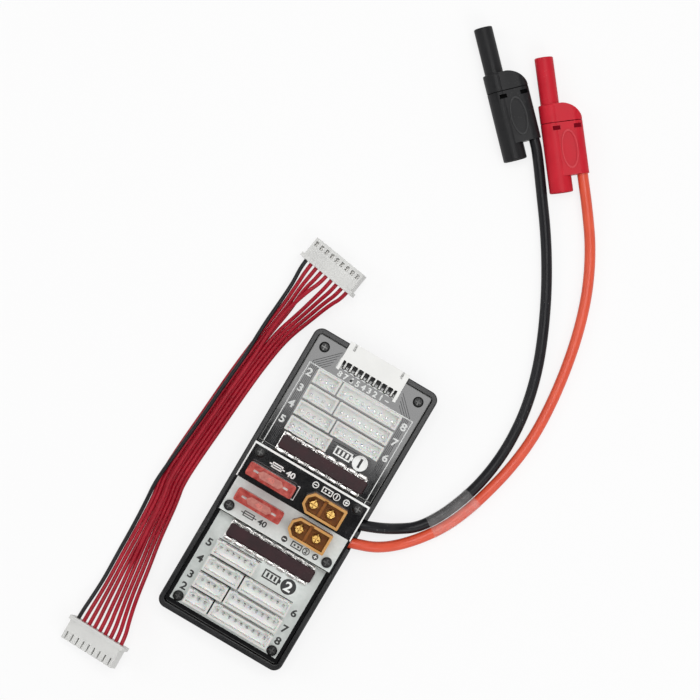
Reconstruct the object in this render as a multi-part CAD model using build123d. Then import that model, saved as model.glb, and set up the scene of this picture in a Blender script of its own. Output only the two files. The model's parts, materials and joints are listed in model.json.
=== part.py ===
from build123d import *

import math
import os

# A board that shares one charger between up to fourteen battery packs, with its power cables, safety
# plugs and loose balance lead. Millimetres, +Z up. The origin is the centre of the tray's flat base;
# +Y runs along the tray towards the balance inlet and +X points to the side where the cables leave.

# ---- tray case
CASE_WIDTH = 52.0
CASE_LENGTH = 118.0
CASE_HEIGHT = 12.4
CASE_WALL = 1.8
CASE_FLOOR = 2.0
CASE_CORNER = 3.4
CASE_INNER_CORNER = 1.6
CASE_EDGE = 0.5
BOSS_RADIUS = 2.8
BOSS_TOP = 6.0

# ---- circuit boards
BOARD_GAP = 0.35
BOARD_THICKNESS = 1.6
BOARD_CORNER = 1.5
BOARD_TOP = BOSS_TOP + BOARD_THICKNESS
POWER_BOARD_MARGIN = 1.6
POWER_BOARD_WIDTH = CASE_WIDTH - 2 * POWER_BOARD_MARGIN
POWER_BOARD_LENGTH = 28.6
POWER_BOARD_Y = -3.2
POWER_BOARD_TOP = CASE_HEIGHT + BOARD_THICKNESS

# ---- screws and spacers
SCREW_RADIUS = 1.0
SCREW_HEAD_RADIUS = 2.0
SCREW_HEAD_HEIGHT = 1.3
SCREW_RECESS = 0.7
SCREW_RECESS_ARM = 2.6
SCREW_RECESS_BLADE = 0.52
SCREW_GAP = 0.08
SCREW_BORE_FLOOR = 2.6
SCREW_TIP = 3.0
SCREW_CLEARANCE = 0.25
MAIN_SCREW_X = CASE_WIDTH / 2 - 6.0
MAIN_SCREW_Y = CASE_LENGTH / 2 - 5.9
POWER_SCREW_X = 20.7
POWER_SCREW_SPACING = 22.5
SPACER_RADIUS = 2.3

# ---- balance sockets, 2.5 mm pitch
PITCH = 2.5
SOCKET_END = 4.9
SOCKET_DEPTH = 5.75
SOCKET_HEIGHT = 7.0
SOCKET_WALL = 0.85
SOCKET_EDGE = 0.25
SOCKET_FLOOR = 1.3
SOCKET_SLOT = 1.7
SOCKET_SLOT_INSET = 2.5
SOCKET_SLOT_FLOOR = 2.6
PIN_SIZE = 0.64
PIN_OFFSET = 0.52
PIN_RISE = 4.4
PIN_TAIL = 2.6
PIN_GAP = 0.06
BANK_LEFT = -17.7
BANK_RIGHT = 17.7
BANK_A_FIRST_ROW = 42.7
BANK_A_ROW_PITCH = 6.6
BANK_B_FIRST_ROW = -50.7
BANK_B_ROW_PITCH = 6.85
LEFT_COLUMN = (3, 4, 5, 6)
RIGHT_COLUMN = (9, 8, 7)

# ---- side-entry balance inlet
INLET_WAYS = 9
INLET_FRONT = CASE_LENGTH / 2 + 1.0
INLET_BODY = 7.3
INLET_ARM = 4.1
INLET_ARM_WALL = 1.1
INLET_HEIGHT = 5.9
INLET_WALL = 0.9
INLET_SLOT = 2.8
INLET_PIN_HEIGHT = 2.6
INLET_PIN_BACK = 2.5
INLET_PIN_FRONT = 1.2
INLET_GAP = 0.35

# ---- resettable fuses under their strips
POLYFUSE_COUNT = 8
POLYFUSE_PITCH = 4.47
POLYFUSE_WIDTH = 4.1
POLYFUSE_LENGTH = 7.3
POLYFUSE_HEIGHT = 1.1
POLYFUSE_X = 0.8
POLYFUSE_A_Y = 15.5
POLYFUSE_B_Y = -22.2
COVER_OVERHANG = 0.25
COVER_SHIFT = 0.5
COVER_LENGTH = 5.2
COVER_THICKNESS = 0.8
COVER_CORNER = 0.9

# ---- blade fuses
FUSE_LENGTH = 19.1
FUSE_WIDTH = 5.1
FUSE_HEIGHT = 11.6
FUSE_CAP = 3.0
FUSE_CAP_STEP = 0.35
FUSE_WALL = 1.0
FUSE_CORNER = 0.6
FUSE_CAP_CORNER = 0.9
FUSE_CHAMBER_END = 1.3
FUSE_RIM = 0.55
FUSE_POCKET = 0.4
FUSE_PAD_LENGTH = 10.6
FUSE_PAD_WIDTH = 2.9
FUSE_PAD_RISE = 0.3
FUSE_WINDOW_LENGTH = 2.0
FUSE_WINDOW_WIDTH = 0.8
FUSE_WINDOW_X = 6.15
FUSE_SEAT_GAP = 0.3
BLADE_WIDTH = 5.1
BLADE_THICKNESS = 0.8
BLADE_SPACING = 13.6
BLADE_DROP = 6.0
BLADE_GAP = 0.15
BLADE_CHAMFER = 0.25
LINK_WIDTH = 1.8
LINK_LEG = 1.2
LINK_RISE = 5.22
CLIP_WALL = 0.4
CLIP_HEIGHT = 3.6
FUSES = {"fuse_a": (-12.2, 1.7), "fuse_b": (-11.2, -8.5)}

# ---- two-pole ports
PORT_LENGTH = 16.0
PORT_WIDTH = 8.1
PORT_HEIGHT = 8.0
PORT_CHAMFER = 2.4
PORT_WALL = 0.95
PORT_EDGE = 0.5
PORT_KEY_WIDTH = 1.5
PORT_KEY_LENGTH = 1.0
PORT_KEY_DEPTH = 1.4
PORT_FLOOR = 1.5
PORT_RIB = 1.1
PORT_RIB_HEIGHT = 2.6
PORT_PIN_RADIUS = 1.75
PORT_PIN_SPACING = 7.2
PORT_PIN_OFFSET = -0.5
PORT_PIN_RECESS = 1.1
PORT_PIN_EDGE = 0.35
PORT_PIN_SLOT = 0.45
PORT_PIN_SLOT_DEPTH = 4.0
PORT_TAIL_RADIUS = 1.4
PORT_TAIL = 3.4
PORT_PIN_GAP = 0.05
PORTS = {"port_a": (9.9, 1.7), "port_b": (9.9, -8.7)}

# ---- power cables and their clear sleeve
WIRE_RADIUS = 2.05
WIRE_EXIT_HEIGHT = 9.8
WIRE_NOTCH_GAP = 0.55
TAB_THICKNESS = 2.0
TAB_WIDTH = 4.6
TAB_FOOT = BOARD_TOP + 0.3
SLEEVE_GAP = 0.12
SLEEVE_SPACING = 4.22
SLEEVE_WALL = 0.25

# ---- stackable plugs: x across towards the cable side, y towards the tip, z up
PLUG_BARREL_RADIUS = 4.4
PLUG_LENGTH = 50.4
PLUG_SEAM = 26.0
PLUG_CAP_END = 32.8
PLUG_LOBE_START = 6.0
PLUG_LOBE_EDGE = 11.1
PLUG_LOBE_THICKNESS = 8.4
PLUG_CABLE_X = 8.6
PLUG_CABLE_DEPTH = 8.0
PLUG_CABLE_GAP = 0.1
PLUG_CAP_NECK = 4.2
PLUG_CAVITY_RADIUS = 3.8
PLUG_CAVITY_START = 15.8
PLUG_CAP_WALL = 1.6
SHEATH_RADIUS = 3.45
SHEATH_BORE = 2.5
SHEATH_COLLAR_RADIUS = 3.7
SHEATH_COLLAR = 1.2
SHEATH_GAP = 0.1
SHEATH_BACK_GAP = 0.3
CONTACT_RADIUS = 2.0
CONTACT_TIP_RECESS = 1.0
CONTACT_SOCKET_RADIUS = 2.7
CONTACT_SOCKET_RECESS = 1.5
CONTACT_SOCKET_DEPTH = 12.5
CONTACT_FLANGE_RADIUS = 3.3
CONTACT_FLANGE = 1.3
CONTACT_GAP = 0.05
CONTACT_EDGE = 0.8
PLUG_EDGE = 0.5
PLUG_SHOULDER = 0.9
PLUG_CROWN_X = 8.9
PLUG_CROWN_SHARE = 0.66
PLUG_SHROUD_RADIUS = 3.75
PLUG_SHROUD_DEPTH = 11.0
PLUG_GROOVE = 0.3
OVAL_WIDTH = 6.0
OVAL_LENGTH = 14.5
OVAL_RISE = 0.35
OVAL_LINE = 0.7
OVAL_SHIFT = 0.6
OVAL_SETBACK = 3.2
PLUG_SLOT_WIDTH = 2.8
PLUG_SLOT_LENGTH = 1.6
PLUG_SLOT_DEPTH = 0.3
PLUG_SLOT_SPREAD = 3.9
PLUG_SLOT_SETBACK = 2.2
PLUGS = {"black": ((5.75, 148.35), 44.4), "red": ((26.5, 146.65), 38.1)}

# ---- balance lead housings: x across the ways, y towards the mating end, z thickness
LEAD_WAYS = 9
LEAD_BODY_LENGTH = 9.0
LEAD_BODY_THICKNESS = 5.0
LEAD_BODY_END = 2.9
LEAD_FLANGE_LENGTH = 1.5
LEAD_FLANGE_THICKNESS = 5.75
LEAD_FLANGE_END = 4.7
LEAD_CAVITY = 1.9
LEAD_CAVITY_THICKNESS = 2.3
LEAD_CAVITY_START = 2.3
LEAD_WINDOW_WIDTH = 1.3
LEAD_WINDOW_LENGTH = 1.9
LEAD_WINDOW_INSET = 1.2
LEAD_SLIT_WIDTH = 0.6
LEAD_SLIT_LENGTH = 3.2
LEAD_WIRE_RADIUS = 0.75
LEAD_WIRE_GAP = 0.1
CRIMP_WIDTH = 1.5
CRIMP_LENGTH = 5.2
CRIMP_BORE = 0.8
CRIMP_BARREL = 1.4
LEAD_TOP_LAYER = 1.65
UPPER_HOUSING = ((-32.7, 76.0), -9.0, -15.0)
LOWER_HOUSING = ((-38.2, -79.3), 181.1, 200.0)
LEAD_STRAIGHT = 2.7

# ---- routes of the two power cables, from the tab under the power board to the plug
BLACK_ROUTE = [
    (17.4, 1.4, 9.8), (21.6, 2.4, 9.8), (26.4, 4.0, 9.7), (32.2, 6.3, 7.9), (37.4, 8.9, 3.9),
    (43.4, 12.9, 2.5), (48.5, 20.5, 2.5), (52.25, 29.1, 2.5), (55.1, 38.6, 2.5), (56.7, 48.5, 2.15),
    (57.1, 59.0, 2.1), (55.9, 71.5, 2.1), (52.4, 85.5, 2.1), (46.8, 99.5, 2.1), (39.3, 114.6, 2.1),
    (30.0, 129.8, 2.1), (19.9, 143.4, 2.8), (10.9, 155.4, 4.3),
]
RED_ROUTE = [
    (17.4, -6.1, 9.8), (21.6, -5.1, 9.8), (26.4, -3.5, 9.7), (33.4, -1.2, 8.0), (40.0, 3.2, 4.2),
    (46.5, 10.1, 2.5), (52.25, 18.5, 2.5), (56.25, 27.7, 2.5), (59.2, 37.4, 2.5), (62.0, 49.0, 2.15),
    (63.6, 62.5, 2.1), (63.1, 76.5, 2.1), (61.2, 91.5, 2.1), (58.0, 106.5, 2.1), (53.2, 121.0, 2.1),
    (46.2, 134.8, 2.3), (37.9, 146.2, 3.7),
]
SLEEVE_ROUTE = [(47.6, 15.4, 2.5), (50.4, 19.5, 2.5), (54.25, 28.4, 2.5), (55.7, 33.2, 2.5)]
SLEEVE_RUN = 9.4

# ---- routes of the nine balance wires: shared stations along Y, then each wire's place across
LEAD_STATIONS = [
    67.5, 58.5, 48.5, 36.0, 22.5, 8.5, -5.5, -17.5, -23.5, -29.0, -40.0, -51.5, -62.0, -70.0,
]
LEAD_LIFT = [0.7, 0.32, 0.06, 0.0, 0.0, 0.0, 0.0, 0.0, 0.0, 0.0, 0.0, 0.06, 0.34, 0.7]
LEAD_PLACES = [
    (-42.2, -42.8, -43.8, -44.05, -45.3, -46.25, -47.6, -48.8, -49.1, -48.6, -47.8, -47.3, -46.9, -47.2),
    (-40.6, -41.2, -43.0, -44.85, -46.1, -47.05, -48.2, -48.7, -47.5, -46.8, -46.2, -45.7, -45.2, -45.2),
    (-39.0, -39.6, -41.4, -43.25, -44.5, -45.45, -46.6, -47.1, -45.9, -45.2, -44.6, -44.1, -43.5, -43.2),
    (-37.4, -38.0, -39.8, -41.65, -42.9, -43.85, -45.0, -45.5, -44.3, -43.6, -43.0, -42.5, -41.8, -41.2),
    (-35.9, -38.8, -40.6, -40.85, -42.1, -43.05, -44.2, -44.7, -43.5, -42.8, -42.0, -41.0, -39.8, -39.0),
    (-32.2, -34.8, -38.2, -40.05, -41.3, -42.25, -43.4, -43.9, -42.7, -42.0, -41.0, -39.5, -38.1, -37.0),
    (-30.2, -33.1, -36.6, -38.45, -39.7, -40.65, -41.8, -42.3, -41.1, -40.4, -39.4, -37.8, -36.4, -34.9),
    (-28.2, -31.4, -35.0, -36.85, -38.1, -39.05, -40.2, -40.7, -39.5, -38.8, -37.8, -36.2, -34.7, -32.9),
    (-26.2, -29.7, -33.4, -35.25, -36.5, -37.45, -38.6, -39.1, -37.9, -37.2, -36.2, -34.4, -32.8, -30.9),
]
LEAD_LAYERS = {
    0: (0.0, 0.55, 1.0, 1.0, 1.0, 1.0, 1.0, 1.0, 0.85, 0.0, 0.0, 0.0, 0.0, 0.0),
    4: (1.0, 1.0, 1.0, 1.0, 1.0, 1.0, 1.0, 1.0, 1.0, 1.0, 1.0, 0.6, 0.0, 0.0),
}
FLAT_LAYERS = (0.0,) * len(LEAD_STATIONS)


def block(width, length, height, x=0.0, y=0.0, z=0.0):
    """A box centred on (x, y) that stands on height z."""
    return Pos(x, y, z) * Box(width, length, height, align=(Align.CENTER, Align.CENTER, Align.MIN))


def post(radius, height, x=0.0, y=0.0, z=0.0):
    """A round post centred on (x, y) that stands on height z."""
    return Pos(x, y, z) * Cylinder(radius, height, align=(Align.CENTER, Align.CENTER, Align.MIN))


def along_y(radius, start, end, x=0.0, z=0.0):
    """A round bar along +Y from start to end."""
    bar = Cylinder(radius, end - start, align=(Align.CENTER, Align.CENTER, Align.MIN))
    return Pos(x, start, z) * Rot(-90, 0, 0) * bar


def group(parts):
    return Compound(children=list(parts))


def main_screw_places():
    return [(x, y) for x in (-MAIN_SCREW_X, MAIN_SCREW_X) for y in (-MAIN_SCREW_Y, MAIN_SCREW_Y)]


def power_screw_places():
    top = POWER_BOARD_Y + POWER_SCREW_SPACING / 2
    bottom = POWER_BOARD_Y - POWER_SCREW_SPACING / 2
    return [(x, y) for x in (-POWER_SCREW_X, POWER_SCREW_X) for y in (bottom, top)]


def socket_length(ways):
    return (ways - 1) * PITCH + SOCKET_END


def bank_places(first_row, row_step):
    """Ways, centre x and centre y of each socket in a bank, from its outer row inwards."""
    places = []
    for row, ways in enumerate(LEFT_COLUMN):
        places.append((ways, BANK_LEFT + socket_length(ways) / 2, first_row + row * row_step))
    for row, ways in enumerate(RIGHT_COLUMN):
        places.append((ways, BANK_RIGHT - socket_length(ways) / 2, first_row + row * row_step))
    return places


BANKS = {
    "bank_a": (bank_places(BANK_A_FIRST_ROW, -BANK_A_ROW_PITCH), 0),
    "bank_b": (bank_places(BANK_B_FIRST_ROW, BANK_B_ROW_PITCH), 180),
}


def bank_pin_places(bank):
    """Centre of every pin of a bank's sockets."""
    places, turn = BANKS[bank]
    side = -PIN_OFFSET if turn == 0 else PIN_OFFSET
    pins = []
    for ways, x, y in places:
        for way in range(ways):
            pins.append((x + (way - (ways - 1) / 2) * PITCH, y + side))
    return pins


def inlet_pin_x():
    return [(way - (INLET_WAYS - 1) / 2) * PITCH for way in range(INLET_WAYS)]


def run_direction(route, index):
    """Plan angle in degrees of the run that starts at a route point."""
    (x0, y0, _), (x1, y1, _) = route[index], route[index + 1]
    return math.degrees(math.atan2(y1 - y0, x1 - x0))


def wall_crossing(route):
    """Where a cable route crosses the middle of the tray's side wall, in plan."""
    wall_x = CASE_WIDTH / 2 - CASE_WALL / 2
    for (x0, y0, _), (x1, y1, _) in zip(route, route[1:]):
        if x0 <= wall_x < x1:
            return y0 + (y1 - y0) * (wall_x - x0) / (x1 - x0)
    raise ValueError("the cable does not cross the side wall")


def case_tray():
    outer = extrude(RectangleRounded(CASE_WIDTH, CASE_LENGTH, CASE_CORNER), CASE_HEIGHT)
    outer = chamfer(outer.faces().sort_by(Axis.Z)[0].edges(), CASE_EDGE)
    outer = fillet(outer.faces().sort_by(Axis.Z)[-1].edges(), CASE_EDGE)
    inner_width = CASE_WIDTH - 2 * CASE_WALL
    inner_length = CASE_LENGTH - 2 * CASE_WALL
    inner = extrude(RectangleRounded(inner_width, inner_length, CASE_INNER_CORNER), CASE_HEIGHT)
    tray = outer - Pos(0, 0, CASE_FLOOR) * inner
    for x, y in main_screw_places() + power_screw_places():
        tray += post(BOSS_RADIUS, BOSS_TOP - CASE_FLOOR, x, y, CASE_FLOOR)
        tray -= post(SCREW_RADIUS + SCREW_GAP, BOSS_TOP, x, y, SCREW_BORE_FLOOR)
    notch_width = socket_length(INLET_WAYS) + 2 * INLET_GAP
    tray -= block(notch_width, 4 * CASE_WALL, CASE_HEIGHT, 0, CASE_LENGTH / 2, BOARD_TOP - INLET_GAP)
    for route in (BLACK_ROUTE, RED_ROUTE):
        radius = WIRE_RADIUS + WIRE_NOTCH_GAP
        y = wall_crossing(route)
        x = CASE_WIDTH / 2
        tray -= block(4 * CASE_WALL, 2 * radius, CASE_HEIGHT, x, y, WIRE_EXIT_HEIGHT)
        tray -= Pos(x, y, WIRE_EXIT_HEIGHT) * Rot(0, 90, 0) * Cylinder(radius, 4 * CASE_WALL)
    return tray


def main_board():
    width = CASE_WIDTH - 2 * (CASE_WALL + BOARD_GAP)
    length = CASE_LENGTH - 2 * (CASE_WALL + BOARD_GAP)
    board = Pos(0, 0, BOSS_TOP) * extrude(RectangleRounded(width, length, BOARD_CORNER), BOARD_THICKNESS)
    holes = [post(SCREW_RADIUS + SCREW_CLEARANCE, BOARD_THICKNESS, x, y, BOSS_TOP)
             for x, y in main_screw_places() + power_screw_places()]
    pin_radius = PIN_SIZE * math.sqrt(0.5) + PIN_GAP
    pins = bank_pin_places("bank_a") + bank_pin_places("bank_b")
    pins += [(x, INLET_FRONT - INLET_BODY - INLET_PIN_BACK) for x in inlet_pin_x()]
    holes += [post(pin_radius, BOARD_THICKNESS, x, y, BOSS_TOP) for x, y in pins]
    return board - holes


def power_board():
    board = block(POWER_BOARD_WIDTH, POWER_BOARD_LENGTH, BOARD_THICKNESS, 0, POWER_BOARD_Y, CASE_HEIGHT)
    holes = [post(SCREW_RADIUS + SCREW_CLEARANCE, BOARD_THICKNESS, x, y, CASE_HEIGHT)
             for x, y in power_screw_places()]
    for x, y in FUSES.values():
        for side in (-1, 1):
            slot_x = x + side * BLADE_SPACING / 2
            slot_width = BLADE_WIDTH + 2 * BLADE_GAP
            slot_length = BLADE_THICKNESS + 2 * BLADE_GAP
            holes.append(block(slot_width, slot_length, BOARD_THICKNESS, slot_x, y, CASE_HEIGHT))
    for x, y in PORTS.values():
        for pin_x in port_pin_x(x):
            holes.append(post(PORT_TAIL_RADIUS + PORT_PIN_GAP, BOARD_THICKNESS, pin_x, y, CASE_HEIGHT))
    return board - holes


def power_board_spacers():
    height = CASE_HEIGHT - BOARD_TOP
    bore = SCREW_RADIUS + SCREW_CLEARANCE
    return group(post(SPACER_RADIUS, height, x, y, BOARD_TOP) - post(bore, height, x, y, BOARD_TOP)
                 for x, y in power_screw_places())


def screw(x, y, seat):
    """Pan-head cross-recess screw whose head sits on height seat."""
    head = post(SCREW_HEAD_RADIUS, SCREW_HEAD_HEIGHT, x, y, seat)
    head = fillet(head.edges().filter_by(GeomType.CIRCLE).sort_by(Axis.Z)[-1], SCREW_HEAD_HEIGHT * 0.55)
    body = head + post(SCREW_RADIUS, seat - SCREW_TIP, x, y, SCREW_TIP)
    recess_floor = seat + SCREW_HEAD_HEIGHT - SCREW_RECESS
    body -= block(SCREW_RECESS_ARM, SCREW_RECESS_BLADE, SCREW_RECESS, x, y, recess_floor)
    body -= block(SCREW_RECESS_BLADE, SCREW_RECESS_ARM, SCREW_RECESS, x, y, recess_floor)
    return body


def socket_housing(ways):
    """Top-entry shrouded housing, standing on z = 0, with its pins nearer the -Y wall."""
    length = socket_length(ways)
    body = block(length, SOCKET_DEPTH, SOCKET_HEIGHT)
    body = fillet(body.edges().filter_by(Axis.Z), SOCKET_EDGE)
    inner_length = length - 2 * SOCKET_WALL
    inner_depth = SOCKET_DEPTH - 2 * SOCKET_WALL
    body -= block(inner_length, inner_depth, SOCKET_HEIGHT, z=SOCKET_FLOOR)
    wall_y = -(SOCKET_DEPTH - SOCKET_WALL) / 2
    slot_height = SOCKET_HEIGHT - SOCKET_SLOT_FLOOR
    for side in (-1, 1):
        slot_x = side * (length / 2 - SOCKET_SLOT_INSET)
        body -= block(SOCKET_SLOT, 2 * SOCKET_WALL, slot_height, slot_x, wall_y, SOCKET_SLOT_FLOOR)
    hole = PIN_SIZE + 2 * PIN_GAP
    for way in range(ways):
        pin_x = (way - (ways - 1) / 2) * PITCH
        body -= block(hole, hole, SOCKET_FLOOR, pin_x, -PIN_OFFSET)
    return body


def bank_pins(bank):
    height = PIN_TAIL + SOCKET_FLOOR + PIN_RISE
    return group(block(PIN_SIZE, PIN_SIZE, height, x, y, BOARD_TOP - PIN_TAIL)
                 for x, y in bank_pin_places(bank))


def balance_inlet_housing():
    width = socket_length(INLET_WAYS)
    back = INLET_FRONT - INLET_BODY
    middle = INLET_FRONT - INLET_BODY / 2
    body = block(width, INLET_BODY, INLET_HEIGHT, 0, middle, BOARD_TOP)
    mouth = INLET_BODY - INLET_WALL
    body -= block(width - 2 * INLET_WALL, mouth, INLET_HEIGHT - 2 * INLET_WALL, 0,
                  INLET_FRONT - mouth / 2, BOARD_TOP + INLET_WALL)
    for side in (-1, 1):
        arm_x = side * (width - INLET_ARM_WALL) / 2
        body += block(INLET_ARM_WALL, INLET_ARM, INLET_HEIGHT, arm_x, back - INLET_ARM / 2, BOARD_TOP)
        slot_x = side * (width / 2 - SOCKET_SLOT_INSET)
        body -= block(INLET_WALL, INLET_SLOT, INLET_WALL, slot_x, INLET_FRONT - INLET_SLOT / 2,
                      BOARD_TOP + INLET_HEIGHT - INLET_WALL)
    hole = PIN_SIZE + 2 * PIN_GAP
    for x in inlet_pin_x():
        pin_z = BOARD_TOP + INLET_PIN_HEIGHT - hole / 2
        body -= block(hole, INLET_WALL * 2, hole, x, back + INLET_WALL / 2, pin_z)
    return body


def balance_inlet_pins():
    front = INLET_FRONT - INLET_PIN_FRONT
    back = INLET_FRONT - INLET_BODY - INLET_PIN_BACK
    pins = []
    for x in inlet_pin_x():
        top = BOARD_TOP + INLET_PIN_HEIGHT + PIN_SIZE / 2
        length = front - back + PIN_SIZE / 2
        bar = block(PIN_SIZE, length, PIN_SIZE, x, front - length / 2, top - PIN_SIZE)
        tail = block(PIN_SIZE, PIN_SIZE, top - BOARD_TOP + PIN_TAIL, x, back, BOARD_TOP - PIN_TAIL)
        pins.append(bar + tail)
    return group(pins)


def polyfuses():
    start = POLYFUSE_X - (POLYFUSE_COUNT - 1) * POLYFUSE_PITCH / 2
    chips = []
    for y in (POLYFUSE_A_Y, POLYFUSE_B_Y):
        for index in range(POLYFUSE_COUNT):
            x = start + index * POLYFUSE_PITCH
            chips.append(block(POLYFUSE_WIDTH, POLYFUSE_LENGTH, POLYFUSE_HEIGHT, x, y, BOARD_TOP))
    return group(chips)


def polyfuse_covers():
    width = (POLYFUSE_COUNT - 1) * POLYFUSE_PITCH + POLYFUSE_WIDTH + 2 * COVER_OVERHANG
    strips = []
    for y in (POLYFUSE_A_Y, POLYFUSE_B_Y):
        strip = block(width, COVER_LENGTH, COVER_THICKNESS, POLYFUSE_X + COVER_SHIFT, y,
                      BOARD_TOP + POLYFUSE_HEIGHT)
        strip = fillet(strip.edges().filter_by(Axis.Z), COVER_CORNER)
        strips.append(fillet(strip.faces().sort_by(Axis.Z)[-1].edges(), 0.45 * COVER_THICKNESS))
    return group(strips)


def fuse_bottom():
    return POWER_BOARD_TOP + FUSE_SEAT_GAP


def fuse_pad():
    """Six-sided raised pad in the middle of a fuse's top."""
    end = FUSE_PAD_LENGTH / 2
    side = FUSE_PAD_WIDTH / 2
    shoulder = end - side
    points = [(-end, 0), (-shoulder, -side), (shoulder, -side), (end, 0), (shoulder, side), (-shoulder, side)]
    return make_face(Polyline(*points, close=True))


def fuse_body(x, y):
    """Clear moulded body of a blade fuse, hollow, with two test windows in its top."""
    low = fuse_bottom()
    lower_height = FUSE_HEIGHT - FUSE_CAP
    lower = block(FUSE_LENGTH - 2 * FUSE_CAP_STEP, FUSE_WIDTH - 2 * FUSE_CAP_STEP, lower_height, x, y, low)
    cap = block(FUSE_LENGTH, FUSE_WIDTH, FUSE_CAP, x, y, low + lower_height)
    body = fillet(lower.edges().filter_by(Axis.Z), FUSE_CORNER)
    body += fillet(cap.edges().filter_by(Axis.Z), FUSE_CAP_CORNER)
    top = low + FUSE_HEIGHT
    pocket_length = FUSE_LENGTH - 2 * FUSE_RIM
    body -= block(pocket_length, FUSE_WIDTH - 2 * FUSE_RIM, FUSE_POCKET, x, y, top - FUSE_POCKET)
    body += Pos(x, y, top - FUSE_POCKET) * extrude(fuse_pad(), FUSE_PAD_RISE)
    chamber_length = BLADE_SPACING + BLADE_WIDTH + 2 * (BLADE_GAP - FUSE_CHAMBER_END)
    chamber_width = FUSE_WIDTH - 2 * FUSE_CAP_STEP - 2 * FUSE_WALL
    body -= block(chamber_length, chamber_width, FUSE_HEIGHT - 2 * FUSE_WALL, x, y, low + FUSE_WALL)
    for side in (-1, 1):
        blade_x = x + side * BLADE_SPACING / 2
        slot_width = BLADE_WIDTH + 2 * BLADE_GAP
        slot_length = BLADE_THICKNESS + 2 * BLADE_GAP
        body -= block(slot_width, slot_length, FUSE_HEIGHT - FUSE_WALL, blade_x, y, low)
        window_x = x + side * FUSE_WINDOW_X
        body -= block(FUSE_WINDOW_LENGTH, FUSE_WINDOW_WIDTH, FUSE_WALL, window_x, y, top - FUSE_WALL)
    return body


def fuse_element(x, y):
    """Two blades joined by a narrow arched link, one sheet of metal."""
    low = fuse_bottom()
    height = BLADE_DROP + FUSE_HEIGHT - FUSE_WALL - BLADE_GAP
    parts = []
    for side in (-1, 1):
        blade_x = x + side * BLADE_SPACING / 2
        blade = block(BLADE_WIDTH, BLADE_THICKNESS, height, blade_x, y, low - BLADE_DROP)
        parts.append(chamfer(blade.faces().sort_by(Axis.Z)[0].edges().filter_by(Axis.X), BLADE_CHAMFER))
    span = BLADE_SPACING - BLADE_WIDTH
    arch_z = low + LINK_RISE
    arch = Rot(90, 0, 0) * Cylinder(span / 2, BLADE_THICKNESS)
    arch -= Rot(90, 0, 0) * Cylinder(span / 2 - LINK_WIDTH, BLADE_THICKNESS)
    arch -= Pos(0, 0, -span) * Box(2 * span, 2 * BLADE_THICKNESS, 2 * span)
    leg_x = (span - LINK_WIDTH) / 2
    legs = block(LINK_WIDTH, BLADE_THICKNESS, LINK_LEG, -leg_x, 0, -LINK_LEG)
    legs += block(LINK_WIDTH, BLADE_THICKNESS, LINK_LEG, leg_x, 0, -LINK_LEG)
    return parts[0] + parts[1] + Pos(x, y, arch_z) * (arch + legs)


def fuse_clips():
    """Sprung sleeve round each fuse blade, soldered under the power board."""
    clips = []
    for x, y in FUSES.values():
        for side in (-1, 1):
            clip_x = x + side * BLADE_SPACING / 2
            inner_width = BLADE_WIDTH + 2 * BLADE_GAP
            inner_length = BLADE_THICKNESS + 2 * BLADE_GAP
            z = CASE_HEIGHT - CLIP_HEIGHT
            clip = block(inner_width + 2 * CLIP_WALL, inner_length + 2 * CLIP_WALL, CLIP_HEIGHT, clip_x, y, z)
            clips.append(clip - block(inner_width, inner_length, CLIP_HEIGHT, clip_x, y, z))
    return group(clips)


def port_pin_x(x):
    centre = x + PORT_PIN_OFFSET
    return (centre - PORT_PIN_SPACING / 2, centre + PORT_PIN_SPACING / 2)


def port_outline(inset):
    """Outline of a port, with both corners cut at its minus end."""
    half_length = PORT_LENGTH / 2 - inset
    half_width = PORT_WIDTH / 2 - inset
    cut = PORT_CHAMFER - inset * (2 - math.sqrt(2))
    points = [
        (-half_length + cut, -half_width), (half_length, -half_width), (half_length, half_width),
        (-half_length + cut, half_width), (-half_length, half_width - cut), (-half_length, cut - half_width),
    ]
    return make_face(Polyline(*points, close=True))


def port_housing(x, y):
    body = extrude(port_outline(0), PORT_HEIGHT)
    body = fillet(body.edges().filter_by(Axis.Z), PORT_EDGE)
    body -= Pos(0, 0, PORT_FLOOR) * extrude(port_outline(PORT_WALL), PORT_HEIGHT)
    rib_width = PORT_WIDTH - 2 * PORT_WALL
    body += block(PORT_RIB, rib_width, PORT_RIB_HEIGHT, PORT_PIN_OFFSET, 0, PORT_FLOOR)
    key_y = PORT_WIDTH / 2 - PORT_WALL
    key_z = PORT_HEIGHT - PORT_KEY_DEPTH
    body -= block(PORT_KEY_WIDTH, PORT_KEY_LENGTH, PORT_KEY_DEPTH, PORT_PIN_OFFSET, key_y, key_z)
    for pin_x in port_pin_x(0):
        body -= post(PORT_PIN_RADIUS + PORT_PIN_GAP, PORT_FLOOR, pin_x)
    return Pos(x, y, POWER_BOARD_TOP) * body


def port_pins(x, y):
    height = PORT_HEIGHT - PORT_PIN_RECESS
    pins = []
    for pin_x in port_pin_x(0):
        pin = post(PORT_PIN_RADIUS, height, pin_x)
        pin = chamfer(pin.edges().filter_by(GeomType.CIRCLE).sort_by(Axis.Z)[-1], PORT_PIN_EDGE)
        pin += post(PORT_TAIL_RADIUS, PORT_TAIL, pin_x, 0, -PORT_TAIL)
        slot_z = height - PORT_PIN_SLOT_DEPTH
        pin -= block(3 * PORT_PIN_RADIUS, PORT_PIN_SLOT, PORT_PIN_SLOT_DEPTH, pin_x, 0, slot_z)
        pin -= block(PORT_PIN_SLOT, 3 * PORT_PIN_RADIUS, PORT_PIN_SLOT_DEPTH, pin_x, 0, slot_z)
        pins.append(Pos(x, y, POWER_BOARD_TOP) * pin)
    return group(pins)


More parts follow.
